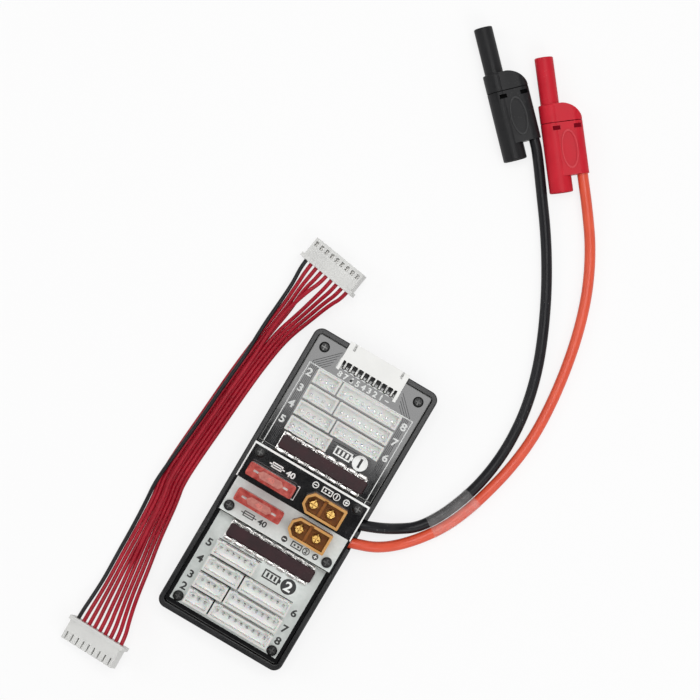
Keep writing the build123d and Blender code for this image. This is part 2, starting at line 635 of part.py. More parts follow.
def wire_tabs():
    """Metal block under the power board at each cable's end, square to the cable."""
    tabs = []
    for route in (BLACK_ROUTE, RED_ROUTE):
        x, y, _ = route[0]
        tab = block(TAB_THICKNESS, TAB_WIDTH, CASE_HEIGHT - TAB_FOOT, -TAB_THICKNESS / 2, 0, TAB_FOOT)
        tabs.append(Pos(x, y, 0) * Rot(0, 0, run_direction(route, 0)) * tab)
    return group(tabs)


def corner_radii(points):
    """The largest arc at each corner that leaves room on its two runs."""
    radii = []
    for before, corner, after in zip(points, points[1:], points[2:]):
        run_in = Vector(*corner) - Vector(*before)
        run_out = Vector(*after) - Vector(*corner)
        turn = math.radians(run_in.get_angle(run_out))
        radii.append(0.45 * min(run_in.length, run_out.length) / math.tan(turn / 2))
    return radii


def cord_tube(name, points, radius):
    radii = corner_radii(points)
    path = FilletPolyline(*points, radius=radii)
    section = Plane(origin=path @ 0, z_dir=path % 0) * Circle(radius)
    tube = sweep(section, path=path)
    expected = math.pi * radius ** 2 * path.length
    runs = [math.dist(a, b) for a, b in zip(points, points[1:])]
    print(name, "radii", [round(r, 1) for r in radii])
    print(f"{name}: length {path.length:.1f}, tightest radius {min(radii):.1f}, "
          f"runs {min(runs):.1f} to {max(runs):.1f}, volume ratio {tube.volume / expected:.4f}")
    return tube


def wire_sleeve():
    """Clear heat-shrunk sleeve that holds both power cables side by side."""
    turns = [Vector(*b) - Vector(*a) for a, b in zip(SLEEVE_ROUTE, SLEEVE_ROUTE[1:])]
    radii = []
    for run_in, run_out in zip(turns, turns[1:]):
        radii.append(0.45 * SLEEVE_RUN / math.tan(math.radians(run_in.get_angle(run_out)) / 2))
    path = FilletPolyline(*SLEEVE_ROUTE, radius=radii)
    across = Vector(0, 0, 1).cross(path % 0)
    plane = Plane(origin=path @ 0, x_dir=across, z_dir=path % 0)
    inner = 2 * (WIRE_RADIUS + SLEEVE_GAP)
    outer = inner + 2 * SLEEVE_WALL
    shell = sweep(plane * SlotCenterToCenter(SLEEVE_SPACING, outer), path=path)
    return shell - sweep(plane * SlotCenterToCenter(SLEEVE_SPACING, inner), path=path)


def plug_place(colour):
    (x, y), turn = PLUGS[colour]
    return Pos(x, y, PLUG_BARREL_RADIUS) * Rot(0, 0, turn)


def plug_exit(colour):
    """Where the cable meets the plug, at the bottom of its hole, and a point straight out of it."""
    place = plug_place(colour)
    ends = []
    for y in (PLUG_LOBE_START + PLUG_CABLE_DEPTH, PLUG_LOBE_START):
        ends.append(tuple((place * Pos(PLUG_CABLE_X, y, 0)).position))
    return ends


def plug_lobe(start, end, inset=0.0):
    """The flat side of a plug beside its barrel, rounded along its outer edge."""
    edge = PLUG_LOBE_EDGE - inset
    thickness = PLUG_LOBE_THICKNESS - 2 * inset
    lobe = block(edge, end - start, thickness, edge / 2, (start + end) / 2, -thickness / 2)
    outer = lobe.edges().filter_by(Axis.Y).group_by(Axis.X)[-1]
    return fillet(outer, 0.42 * thickness)


def plug_groove(start, end):
    """The ring of a plug's outside that is cut away to leave a seam line."""
    outside = along_y(PLUG_BARREL_RADIUS, start, end) + plug_lobe(start, end)
    inside = along_y(PLUG_BARREL_RADIUS - PLUG_GROOVE, start, end) + plug_lobe(start, end, PLUG_GROOVE)
    return outside - inside


def plug_body(colour):
    """Moulded body: barrel and lobe up to the seam, open for the rear socket and the cable."""
    barrel = along_y(PLUG_BARREL_RADIUS, 0, PLUG_SEAM)
    body = fillet(barrel.edges().sort_by(Axis.Y)[0], PLUG_EDGE) + plug_lobe(PLUG_LOBE_START, PLUG_SEAM)
    body -= plug_groove(PLUG_SEAM - PLUG_GROOVE, PLUG_SEAM)
    flange_end = PLUG_CAVITY_START - SHEATH_BACK_GAP
    body -= along_y(PLUG_SHROUD_RADIUS, 0, PLUG_SHROUD_DEPTH)
    body -= along_y(PLUG_CAVITY_RADIUS, flange_end - CONTACT_FLANGE, PLUG_SEAM)
    body -= along_y(CONTACT_SOCKET_RADIUS + CONTACT_GAP, 0, PLUG_SEAM)
    cable_end = PLUG_LOBE_START + PLUG_CABLE_DEPTH
    body -= along_y(WIRE_RADIUS + PLUG_CABLE_GAP, PLUG_LOBE_START, cable_end, PLUG_CABLE_X)
    top = PLUG_LOBE_THICKNESS / 2
    oval_x = PLUG_LOBE_EDGE / 2 - OVAL_SHIFT
    oval_y = PLUG_SEAM - OVAL_SETBACK - OVAL_LENGTH / 2
    ring = Ellipse(OVAL_WIDTH / 2, OVAL_LENGTH / 2)
    ring -= Ellipse(OVAL_WIDTH / 2 - OVAL_LINE, OVAL_LENGTH / 2 - OVAL_LINE)
    body += Pos(oval_x, oval_y, top) * extrude(ring, OVAL_RISE)
    slot_y = PLUG_SEAM - PLUG_SLOT_SETBACK
    slot_z = top - PLUG_SLOT_DEPTH
    for slot_x in (oval_x - PLUG_SLOT_SPREAD, oval_x + PLUG_SLOT_SPREAD):
        body -= block(PLUG_SLOT_WIDTH, PLUG_SLOT_LENGTH, 2 * PLUG_SLOT_DEPTH, slot_x, slot_y, slot_z)
    return plug_place(colour) * body


def plug_cap(colour):
    """Front cap with its rounded shoulder, which keeps the sheath's collar in."""
    reach = PLUG_CAP_END - PLUG_SEAM
    corner = (PLUG_LOBE_EDGE, PLUG_SHOULDER)
    shoulder = Polyline((0, 0), (PLUG_LOBE_EDGE, 0), corner)
    crown = ThreePointArc(corner, (PLUG_CROWN_X, reach * PLUG_CROWN_SHARE), (PLUG_CAP_NECK, reach))
    closing = Polyline((PLUG_CAP_NECK, reach), (0, reach), (0, 0))
    outline = make_face([shoulder, crown, closing])
    lobe = Pos(0, PLUG_SEAM, -PLUG_LOBE_THICKNESS / 2) * extrude(outline, PLUG_LOBE_THICKNESS)
    cap = lobe & plug_lobe(PLUG_SEAM, PLUG_CAP_END)
    barrel = along_y(PLUG_BARREL_RADIUS, PLUG_SEAM, PLUG_CAP_END)
    cap += fillet(barrel.edges().sort_by(Axis.Y)[-1], PLUG_EDGE)
    cap -= along_y(PLUG_CAVITY_RADIUS, PLUG_SEAM, PLUG_CAP_END - PLUG_CAP_WALL)
    cap -= along_y(SHEATH_RADIUS + SHEATH_GAP, PLUG_SEAM, PLUG_CAP_END)
    return plug_place(colour) * cap


def plug_sheath(colour):
    """Sliding sheath that covers the contact until the plug is pushed home."""
    back = PLUG_CAP_END - PLUG_CAP_WALL - SHEATH_COLLAR - SHEATH_BACK_GAP
    sheath = along_y(SHEATH_RADIUS, back, PLUG_LENGTH)
    sheath = fillet(sheath.edges().sort_by(Axis.Y)[-1], PLUG_EDGE)
    sheath += along_y(SHEATH_COLLAR_RADIUS, back, back + SHEATH_COLLAR)
    sheath -= along_y(SHEATH_BORE, back, PLUG_LENGTH)
    return plug_place(colour) * sheath


def plug_contact(colour):
    """Turned contact: split pin, flange and the 4 mm socket at the rear."""
    flange_end = PLUG_CAVITY_START - SHEATH_BACK_GAP
    tip = PLUG_LENGTH - CONTACT_TIP_RECESS
    pin = along_y(CONTACT_RADIUS, flange_end - CONTACT_FLANGE, tip)
    pin = fillet(pin.edges().sort_by(Axis.Y)[-1], CONTACT_EDGE)
    pin += along_y(CONTACT_FLANGE_RADIUS, flange_end - CONTACT_FLANGE, flange_end)
    pin += along_y(CONTACT_SOCKET_RADIUS, CONTACT_SOCKET_RECESS, flange_end)
    pin -= along_y(CONTACT_RADIUS, 0, CONTACT_SOCKET_RECESS + CONTACT_SOCKET_DEPTH)
    return plug_place(colour) * pin


def housing_place(spec):
    """A lead housing's place: rolled about its own length, then standing on its lower edge."""
    (x, y), turn, roll = spec
    lean = math.radians(roll)
    half_width = ((LEAD_WAYS - 1) * PITCH + LEAD_FLANGE_END) / 2
    height = half_width * abs(math.sin(lean)) + LEAD_FLANGE_THICKNESS / 2 * abs(math.cos(lean))
    return Pos(x, y, height) * Rot(0, 0, turn) * Rot(0, roll, 0)


def lead_housing(spec):
    length = LEAD_BODY_LENGTH
    span = (LEAD_WAYS - 1) * PITCH
    body = block(span + LEAD_BODY_END, length, LEAD_BODY_THICKNESS, 0, length / 2, -LEAD_BODY_THICKNESS / 2)
    body += block(span + LEAD_FLANGE_END, LEAD_FLANGE_LENGTH, LEAD_FLANGE_THICKNESS, 0,
                  LEAD_FLANGE_LENGTH / 2, -LEAD_FLANGE_THICKNESS / 2)
    cavity_length = length - LEAD_CAVITY_START
    cavity_y = LEAD_CAVITY_START + cavity_length / 2
    window_y = length - LEAD_WINDOW_INSET - LEAD_WINDOW_LENGTH / 2
    for way in range(LEAD_WAYS):
        x = (way - (LEAD_WAYS - 1) / 2) * PITCH
        body -= block(LEAD_CAVITY, cavity_length, LEAD_CAVITY_THICKNESS, x, cavity_y,
                      -LEAD_CAVITY_THICKNESS / 2)
        body -= along_y(LEAD_WIRE_RADIUS + LEAD_WIRE_GAP, 0, LEAD_CAVITY_START, x)
        body -= block(LEAD_WINDOW_WIDTH, LEAD_WINDOW_LENGTH, LEAD_BODY_THICKNESS, x, window_y)
        body -= block(LEAD_SLIT_WIDTH, LEAD_SLIT_LENGTH, LEAD_BODY_THICKNESS, x,
                      length - LEAD_SLIT_LENGTH / 2, -LEAD_BODY_THICKNESS)
    return housing_place(spec) * body


def lead_contacts():
    crimps = []
    for spec in (UPPER_HOUSING, LOWER_HOUSING):
        for way in range(LEAD_WAYS):
            x = (way - (LEAD_WAYS - 1) / 2) * PITCH
            middle = LEAD_CAVITY_START + CRIMP_LENGTH / 2
            crimp = block(CRIMP_WIDTH, CRIMP_LENGTH, CRIMP_WIDTH, x, middle, -CRIMP_WIDTH / 2)
            mouth = CRIMP_LENGTH - 1.4
            crimp -= block(CRIMP_BORE, mouth, CRIMP_BORE, x,
                           LEAD_CAVITY_START + CRIMP_LENGTH - mouth / 2, -CRIMP_BORE / 2)
            crimps.append(housing_place(spec) * crimp)
    return group(crimps)


def lead_route(way):
    """Route of one balance wire, from its crimp in the upper housing to its crimp in the lower."""
    x = (way - (LEAD_WAYS - 1) / 2) * PITCH
    ends = []
    for spec in (UPPER_HOUSING, LOWER_HOUSING):
        place = housing_place(spec)
        inside = (place * Pos(x, LEAD_CAVITY_START, 0)).position
        outside = (place * Pos(x, -LEAD_STRAIGHT, 0)).position
        ends.append((inside, outside))
    (start, first), (end, last) = ends
    points = [tuple(start), tuple(first)]
    layers = LEAD_LAYERS.get(way, FLAT_LAYERS)
    for index, y in enumerate(LEAD_STATIONS):
        raised = first.Z if index < len(LEAD_STATIONS) / 2 else last.Z
        z = LEAD_WIRE_RADIUS + LEAD_LIFT[index] * (raised - LEAD_WIRE_RADIUS)
        points.append((LEAD_PLACES[way][index], y, z + layers[index] * LEAD_TOP_LAYER))
    return points + [tuple(last), tuple(end)]


def power_route(colour):
    """A power cable's route, finished with the straight run into its plug."""
    route = {"black": BLACK_ROUTE, "red": RED_ROUTE}[colour]
    return route + list(reversed(plug_exit(colour)))


def build():
    parts = {
        "case_tray": case_tray(),
        "main_board": main_board(),
        "power_board": power_board(),
        "power_board_spacers": power_board_spacers(),
        "main_board_screws": group(screw(x, y, BOARD_TOP) for x, y in main_screw_places()),
        "power_board_screws": group(screw(x, y, POWER_BOARD_TOP) for x, y in power_screw_places()),
        "balance_inlet_housing": balance_inlet_housing(),
        "balance_inlet_pins": balance_inlet_pins(),
        "polyfuses": polyfuses(),
        "polyfuse_covers": polyfuse_covers(),
        "fuse_clips": fuse_clips(),
        "wire_tabs": wire_tabs(),
        "wire_sleeve": wire_sleeve(),
        "lead_upper_housing": lead_housing(UPPER_HOUSING),
        "lead_lower_housing": lead_housing(LOWER_HOUSING),
        "lead_contacts": lead_contacts(),
    }
    for bank, (places, turn) in BANKS.items():
        parts[f"{bank}_socket_pins"] = bank_pins(bank)
        for ways, x, y in places:
            housing = Pos(x, y, BOARD_TOP) * Rot(0, 0, turn) * socket_housing(ways)
            parts[f"{bank}_socket_{ways - 1}_cell"] = housing
    for name, (x, y) in FUSES.items():
        parts[f"{name}_body"] = fuse_body(x, y)
        parts[f"{name}_element"] = fuse_element(x, y)
    for name, (x, y) in PORTS.items():
        parts[f"{name}_housing"] = port_housing(x, y)
        parts[f"{name}_pins"] = port_pins(x, y)
    for colour in PLUGS:
        parts[f"plug_{colour}_body"] = plug_body(colour)
        parts[f"plug_{colour}_cap"] = plug_cap(colour)
        parts[f"plug_{colour}_sheath"] = plug_sheath(colour)
        parts[f"plug_{colour}_contact"] = plug_contact(colour)
        parts[f"wire_{colour}"] = cord_tube(f"wire_{colour}", power_route(colour), WIRE_RADIUS)
    for way in range(LEAD_WAYS):
        name = "lead_wire_black" if way == 0 else f"lead_wire_red_{way}"
        parts[name] = cord_tube(name, lead_route(way), LEAD_WIRE_RADIUS)
    return parts


os.makedirs("parts", exist_ok=True)
for name, shape in build().items():
    export_step(shape, f"parts/{name}.step")
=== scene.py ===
import json
import math

import bmesh
import bpy
from mathutils import Matrix, Vector, noise


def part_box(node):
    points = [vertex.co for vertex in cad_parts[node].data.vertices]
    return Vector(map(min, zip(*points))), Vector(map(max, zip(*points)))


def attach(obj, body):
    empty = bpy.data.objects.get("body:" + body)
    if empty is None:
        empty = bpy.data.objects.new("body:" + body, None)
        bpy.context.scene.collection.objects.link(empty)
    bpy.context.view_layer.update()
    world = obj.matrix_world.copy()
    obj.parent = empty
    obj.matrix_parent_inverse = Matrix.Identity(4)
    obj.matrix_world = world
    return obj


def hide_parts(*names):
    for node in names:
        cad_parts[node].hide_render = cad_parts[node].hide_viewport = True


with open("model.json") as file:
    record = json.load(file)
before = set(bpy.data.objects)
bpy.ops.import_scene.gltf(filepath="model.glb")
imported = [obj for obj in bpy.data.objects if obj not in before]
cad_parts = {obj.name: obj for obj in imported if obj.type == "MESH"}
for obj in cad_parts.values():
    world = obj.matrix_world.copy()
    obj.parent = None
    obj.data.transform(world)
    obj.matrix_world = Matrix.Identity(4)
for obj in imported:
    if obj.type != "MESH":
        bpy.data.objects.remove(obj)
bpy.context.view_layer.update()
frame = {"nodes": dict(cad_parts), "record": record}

MM = 0.001
NODES = frame["nodes"]

# ---- camera over the board's inlet end, looking straight down
CAMERA_PLACE = (-0.01139, 0.05692, 1.050)
CAMERA_TURN = 30.5
SENSOR = 36.0
LENS = 145.5

# ---- studio: light of the room, then each soft box's name, place, size and power
ROOM_LIGHT = 0.44
SOFTBOXES = (
    ("key_box", (0.0, 0.29, 1.25), (0.9, 0.62), 8.0),
    ("side_box", (0.9, -0.3, 0.9), (0.6, 0.6), 3.0),
    ("fill_box", (-0.9, -0.2, 0.8), (0.5, 0.5), 1.6),
)
SOFTBOX_AIM = (0.0, 0.03, 0.0)
CEILING = {"From Min": 0.35, "From Max": 0.85, "To Min": 1.0, "To Max": 0.09}
FLOOR_GREY = 0.86
FLOOR_GLOW = 0.78
DUST_COLOUR = (0.55, 0.54, 0.52)

# ---- heights of the printed faces and of the sockets' and ports' rims, in mm; painted shade is drawn along the sockets' rims and painted highlight along the ports' rims
MAIN_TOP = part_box("main_board")[1].z / MM
POWER_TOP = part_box("power_board")[1].z / MM
INK = 0.03
SOCKET_PAINTED_SHADE_RIM = (0.5, 0.1)
PORT_PAINTED_HIGHLIGHT_RIM = (21.4, 22.0)

# ---- places that the marks share with the sockets, in mm
PITCH = 2.5
SOCKET_END = 4.9
SOCKET_DEPTH = 5.75
SOCKET_HEIGHT = 7.0
BANK_LEFT = -17.7
BANK_RIGHT = 17.7
BANK_COLUMNS = ((3, 9), (4, 8), (5, 7), (6, 0))
BANK_A_ROWS = (42.7, 36.1, 29.5, 22.9)
BANK_B_ROWS = (-50.7, -43.85, -37.0, -30.15)
INLET_WAYS = 9

# ---- figures: their heights, in mm, and how bold and wide they are drawn
DIGIT = 3.0
SMALL_DIGIT = 2.2
BANK_DIGIT = 3.7
RATING_DIGIT = 2.3
PORT_DIGIT = 1.6
FUSE_DIGIT = 1.8
BOLD = 0.03
WIDE = 1.16

# ---- print round bank A, in mm; a sign is its left end, middle, length, height and line
COUNT_X = 20.1
COUNT_DROP = 0.3
FRAME_A = (22.1, 10.0, 45.9)
FRAME_LINE = 0.34
BRACKET_X = (12.3, 12.75)
BRACKET_Y = (48.6, 53.0)
BRACKET_BARS = (49.3, 50.2)
BRACKET_BAR = 0.3
PIN_NUMBER_Y = 47.5
PIN_NUMBER_SHIFT = 0.15
PIN_DASH_X = (0.85, 0.75)
PIN_DASH_Y = (47.2, 47.6)
CELL_A = (2.4, BANK_A_ROWS[3] - 0.3, 7.5, 3.5, 0.55)
DISC_A = (13.0, BANK_A_ROWS[3] - 0.2)
DISC_RADIUS = 2.95

# ---- print round bank B, in mm
BLOCK_B = (-22.6, -55.1, 22.6, -17.4)
COUNTS_B_Y = (-30.3, -37.1, -43.9, -48.9)
CELL_B = (2.7, BANK_B_ROWS[3] + 0.3, 7.2, 3.5, 0.55)
DISC_B = (13.3, BANK_B_ROWS[3] + 0.3)
EDGE_LINE = 0.32
EDGE_PAST = 0.6

# ---- power board and its print, in mm
POWER_LOW, POWER_HIGH = [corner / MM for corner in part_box("power_board")]
POWER_SIZE = POWER_HIGH - POWER_LOW
POWER_MIDDLE = (POWER_LOW.y + POWER_HIGH.y) / 2
SPLIT = -3.5
POWER_BLOCK_SIDE = 1.0
POWER_BLOCK_END = 0.3
POWER_SIDE = 0.1
POWER_END = 0.12
POWER_BORDER = 0.8
POWER_SIDE_BORDER = 0.55
FUSE_SIGN_A = (-15.8, 6.5, 6.4, 2.1, 0.46)
FUSE_SIGN_B = (-15.8, -14.1, 6.4, 2.1, 0.38)
RATING_X = -6.9
PORT_ROW_A = 8.0
PORT_ROW_B = -14.9
PORT_SIGN_A = (5.7, PORT_ROW_A, 4.3, 2.3, 0.42)
PORT_SIGN_B = (6.0, PORT_ROW_B, 4.3, 2.3, 0.4)
PORT_RING = (1.4, 0.32)
PORT_RING_A = 11.75
PORT_RING_B = 12.15
MINUS_A, PLUS_A = 2.9, 15.9
POLE_SIGN = (1.25, 0.36)
POLES_B = (3.0, 16.1)
POLE_DISC = 1.15
POLE_BARS_B = (
    (2.3, -15.08, 3.7, -14.72), (15.4, -15.08, 16.8, -14.72),
    (15.92, -15.6, 16.28, -15.08), (15.92, -14.72, 16.28, -14.2),
)
BRACE = ((-1.75, -1.25, -1.45, 4.45), (-2.5, 4.15, -1.75, 4.45), (-2.5, -1.25, -1.75, -0.95))

# ---- copper tracks, in mm: the first lane's place and the step to the next
TRACK_LANES = ((-1, 5), (1, 4))
TRACK_X = (18.55, 0.62)
TRACK_START = (11.5, 1.2)
TRACK_BEND = (44.6, 0.55)
TRACK_CORNER = (14.6, -0.35)
TRACK_WIDTH = 0.22
CROSS_TRACKS = 4
CROSS_TRACK_X = (0.4, 0.4)
CROSS_TRACK_END = 16.0
CROSS_TRACK_Y = (25.0, -1.1)
CROSS_TRACK_END_Y = (25.4, -1.1)
CROSS_TRACK_WIDTH = 0.3

# ---- open hole, painted shade behind the inlet and painted highlight along the board's edge, in mm
VIA = (-5.3, 47.3, 0.58, 24)
INLET_SHADE = (-11.6, 50.9, 11.6, 53.2)
# painted highlight along the board's edge: where it starts and how wide it is
EDGE_HIGHLIGHT_FROM = 12.0
EDGE_HIGHLIGHT_WIDTH = 0.26

# ---- resettable fuses and the solder on their ends, in mm
ROWS_OF_CHIPS = (15.5, -22.2)
CHIPS = 8
CHIP_PITCH = 4.47
CHIP_X = 0.8
CHIP_END = 3.65
LUMP = (1.9, 0.8, 0.85)
LUMP_RISE = 0.7
LUMP_INSET = 0.25
LUMP_WOBBLE = 0.2
LUMP_SQUARENESS = 0.55
LUMP_DENTS = 0.09
LUMP_DENT_SCALE = 2.2

# ---- inlet, in mm: its solder cones and the pointed lips of its housing
INLET_PIN_Y = 50.2
INLET_BACK = 52.7
CONE_RADII = (0.9, 0.42)
CONE_HEIGHT = 0.5
CONE_EDGE = 0.06
TOOTH = (0.6, 0.85, 2.2)
TOOTH_DROP = 0.5
TOOTH_OUT = 0.1
TOOTH_EDGE = 0.08

# ---- screw heads and the painted highlights in their crosses, in mm
SCREW_HEAD = 2.0
CROSS_ARM = 1.15
CROSS_BLADE = 0.2
CROSS_FLOOR = 0.24
CROSS_DEPTH = 0.16

# ---- tops of the blade fuses, in mm, with painted highlight along their rims and on their raised ratings
FUSE_PAD_HALF = 5.3
FUSE_PAD_SIDE = 1.45
FUSE_PAD_DROP = 0.1
FUSE_RIM_X = 0.3
FUSE_RIM_Y = 0.12
FUSE_RIM = 0.3
FUSE_RATING_DROP = 0.07

# ---- cable routes, in mm, and their radii
POWER_CABLE = 2.05
LEAD_WIRE = 0.75
BLACK_CABLE = [
    (17.4, 1.4, 9.8), (21.6, 2.4, 9.8), (26.4, 4.0, 9.7), (32.2, 6.3, 7.9), (37.4, 8.9, 3.9),
    (43.4, 12.9, 2.5), (48.5, 20.5, 2.5), (52.25, 29.1, 2.5), (55.1, 38.6, 2.5), (56.7, 48.5, 2.15),
    (57.1, 59.0, 2.1), (55.9, 71.5, 2.1), (52.4, 85.5, 2.1), (46.8, 99.5, 2.1), (39.3, 114.6, 2.1),
    (30.0, 129.8, 2.1), (19.9, 143.4, 2.8), (10.9, 155.4, 4.3),
]
RED_CABLE = [
    (17.4, -6.1, 9.8), (21.6, -5.1, 9.8), (26.4, -3.5, 9.7), (33.4, -1.2, 8.0), (40.0, 3.2, 4.2),
    (46.5, 10.1, 2.5), (52.25, 18.5, 2.5), (56.25, 27.7, 2.5), (59.2, 37.4, 2.5), (62.0, 49.0, 2.15),
    (63.6, 62.5, 2.1), (63.1, 76.5, 2.1), (61.2, 91.5, 2.1), (58.0, 106.5, 2.1), (53.2, 121.0, 2.1),
    (46.2, 134.8, 2.3), (37.9, 146.2, 3.7),
]
PLUG_PLACES = {"black": ((5.75, 148.35), 44.4), "red": ((26.5, 146.65), 38.1)}
PLUG_BARREL = 4.4
PLUG_FLAT = 4.2
PLUG_EDGE = 11.1
PLUG_SEAM = (25.7, 26.0)
PLUG_SEAM_DEPTH = 0.3
# painted shade: sizes of the dark sheets in each plug's seam
SEAM_RISE = 0.08
SEAM_BAND = 0.26
SEAM_STRIP = (4.6, 7.6, 0.14)
SEAM_EDGE_X = 4.8
SEAM_CORNER_X = 9.0
SEAM_CORNER = 3.3
ROUND_SIDES = 64
PLUG_OVAL = (4.95, 15.55, 3.0, 7.25)
PLUG_OVAL_TOP = 4.55
# painted highlight: the paler band on the oval's ridge, its share of the oval and its thickness
RIDGE_SHARE = 0.1
RIDGE_HEIGHT = 0.04
# painted shade: the dark sheets in each plug's latch slots
PLUG_SLOTS = (1.05, 8.85)
PLUG_SLOT_Y = 23.8
PLUG_SLOT = (2.7, 1.5, 0.06)
PLUG_CABLE_X = 8.6
PLUG_CABLE_Y = (6.0, 14.0)

# ---- balance lead: its housings' places, then each wire's place across at shared stations along Y
UPPER_HOUSING = ((-32.7, 76.0), -9.0, -15.0)
LOWER_HOUSING = ((-38.2, -79.3), 181.1, 200.0)
LEAD_HALF_WIDTH = 12.35
LEAD_HALF_THICKNESS = 2.875
LEAD_CRIMP = 2.3
LEAD_STRAIGHT = 2.7
LEAD_TOP_LAYER = 1.65
LEAD_STATIONS = [67.5, 58.5, 48.5, 36.0, 22.5, 8.5, -5.5, -17.5, -23.5, -29.0, -40.0, -51.5, -62.0, -70.0]
LEAD_LIFT = [0.7, 0.32, 0.06, 0.0, 0.0, 0.0, 0.0, 0.0, 0.0, 0.0, 0.0, 0.06, 0.34, 0.7]
LEAD_PLACES = [
    (-42.2, -42.8, -43.8, -44.05, -45.3, -46.25, -47.6, -48.8, -49.1, -48.6, -47.8, -47.3, -46.9, -47.2),
    (-40.6, -41.2, -43.0, -44.85, -46.1, -47.05, -48.2, -48.7, -47.5, -46.8, -46.2, -45.7, -45.2, -45.2),
    (-39.0, -39.6, -41.4, -43.25, -44.5, -45.45, -46.6, -47.1, -45.9, -45.2, -44.6, -44.1, -43.5, -43.2),
    (-37.4, -38.0, -39.8, -41.65, -42.9, -43.85, -45.0, -45.5, -44.3, -43.6, -43.0, -42.5, -41.8, -41.2),
    (-35.9, -38.8, -40.6, -40.85, -42.1, -43.05, -44.2, -44.7, -43.5, -42.8, -42.0, -41.0, -39.8, -39.0),
    (-32.2, -34.8, -38.2, -40.05, -41.3, -42.25, -43.4, -43.9, -42.7, -42.0, -41.0, -39.5, -38.1, -37.0),
    (-30.2, -33.1, -36.6, -38.45, -39.7, -40.65, -41.8, -42.3, -41.1, -40.4, -39.4, -37.8, -36.4, -34.9),
    (-28.2, -31.4, -35.0, -36.85, -38.1, -39.05, -40.2, -40.7, -39.5, -38.8, -37.8, -36.2, -34.7, -32.9),
    (-26.2, -29.7, -33.4, -35.25, -36.5, -37.45, -38.6, -39.1, -37.9, -37.2, -36.2, -34.4, -32.8, -30.9),
]
LEAD_LAYERS = {
    0: (0.0, 0.55, 1.0, 1.0, 1.0, 1.0, 1.0, 1.0, 0.85, 0.0, 0.0, 0.0, 0.0, 0.0),
    4: (1.0, 1.0, 1.0, 1.0, 1.0, 1.0, 1.0, 1.0, 1.0, 1.0, 1.0, 0.6, 0.0, 0.0),
}
FLAT_LAYERS = (0.0,) * len(LEAD_STATIONS)
LEAD_PACKING = (0.0, 0.0, 0.5, 1.0, 1.0, 1.0, 1.0, 1.0, 1.0, 1.0, 0.6, 0.0, 0.0, 0.0)
LEAD_PACK_SHARE = 0.075
LEAD_WAVE = 0.3
LEAD_LIFTED = (2, 5, 7)


# ================================================================ shader groups

def new_group(name, inputs, outputs):
    """An empty shader group with its named value sockets."""
    group = bpy.data.node_groups.new(name, "ShaderNodeTree")
    for socket, default in inputs.items():
        made = group.interface.new_socket(socket, in_out="INPUT", socket_type="NodeSocketFloat")
        made.default_value = default
    for socket in outputs:
        group.interface.new_socket(socket, in_out="OUTPUT", socket_type="NodeSocketFloat")
    return group


def node(tree, kind, values=(), **settings):
    """A new node with some of its settings and its constant inputs."""
    made = tree.nodes.new(kind)
    for key, value in settings.items():
        setattr(made, key, value)
    for socket, value in dict(values).items():
        made.inputs[socket].default_value = value
    return made


def moulded_grain():
    """Fine spark-eroded mould texture, with broad soft mottling."""
    tree = new_group("moulded_grain", {"Fine": 2500.0, "Broad": 120.0}, ("Height", "Mottle"))
    source = node(tree, "NodeGroupInput")
    sink = node(tree, "NodeGroupOutput")
    coords = node(tree, "ShaderNodeTexCoord")
    fine = node(tree, "ShaderNodeTexNoise", {"Detail": 3.0, "Roughness": 0.6})
    broad = node(tree, "ShaderNodeTexNoise", {"Detail": 4.0, "Roughness": 0.55})
    for texture, scale in ((fine, "Fine"), (broad, "Broad")):
        tree.links.new(coords.outputs["Object"], texture.inputs["Vector"])
        tree.links.new(source.outputs[scale], texture.inputs["Scale"])
    tree.links.new(fine.outputs["Fac"], sink.inputs["Height"])
    tree.links.new(broad.outputs["Fac"], sink.inputs["Mottle"])
    return tree


def dust_and_scuffs():
    """Sparse pale specks in patches, as a mask."""
    tree = new_group("dust_and_scuffs", {"Scale": 900.0, "Amount": 0.25}, ("Mask",))
    source = node(tree, "NodeGroupInput")
    sink = node(tree, "NodeGroupOutput")
    coords = node(tree, "ShaderNodeTexCoord")
    specks = node(tree, "ShaderNodeTexVoronoi", {"Randomness": 1.0})
    patch = node(tree, "ShaderNodeTexNoise", {"Scale": 60.0, "Detail": 3.0})
    near = node(tree, "ShaderNodeMath", {1: 0.16}, operation="LESS_THAN")
    where = node(tree, "ShaderNodeMapRange", {"From Min": 0.55, "From Max": 0.7})
    both = node(tree, "ShaderNodeMath", operation="MULTIPLY")
    scaled = node(tree, "ShaderNodeMath", operation="MULTIPLY")
    tree.links.new(coords.outputs["Object"], specks.inputs["Vector"])
    tree.links.new(coords.outputs["Object"], patch.inputs["Vector"])
    tree.links.new(source.outputs["Scale"], specks.inputs["Scale"])
    tree.links.new(specks.outputs["Distance"], near.inputs[0])
    tree.links.new(patch.outputs["Fac"], where.inputs["Value"])
    tree.links.new(near.outputs["Value"], both.inputs[0])
    tree.links.new(where.outputs["Result"], both.inputs[1])
    tree.links.new(both.outputs["Value"], scaled.inputs[0])
    tree.links.new(source.outputs["Amount"], scaled.inputs[1])
    tree.links.new(scaled.outputs["Value"], sink.inputs["Mask"])
    return tree


GRAIN = moulded_grain()
DUST = dust_and_scuffs()


# ================================================================ materials

def finish_of(name, **sockets):
    """A material and its Principled BSDF, with the constants of its finish on the shader's own sockets."""
    mat = bpy.data.materials.new(name)
    mat.use_nodes = True
    bsdf = mat.node_tree.nodes["Principled BSDF"]
    for socket, value in sockets.items():
        bsdf.inputs[socket.replace("_", " ")].default_value = value
    return mat, bsdf


def place_group(tree, group, **values):
    made = tree.nodes.new("ShaderNodeGroup")
    made.node_tree = group
    for socket, value in values.items():
        made.inputs[socket].default_value = value
    return made


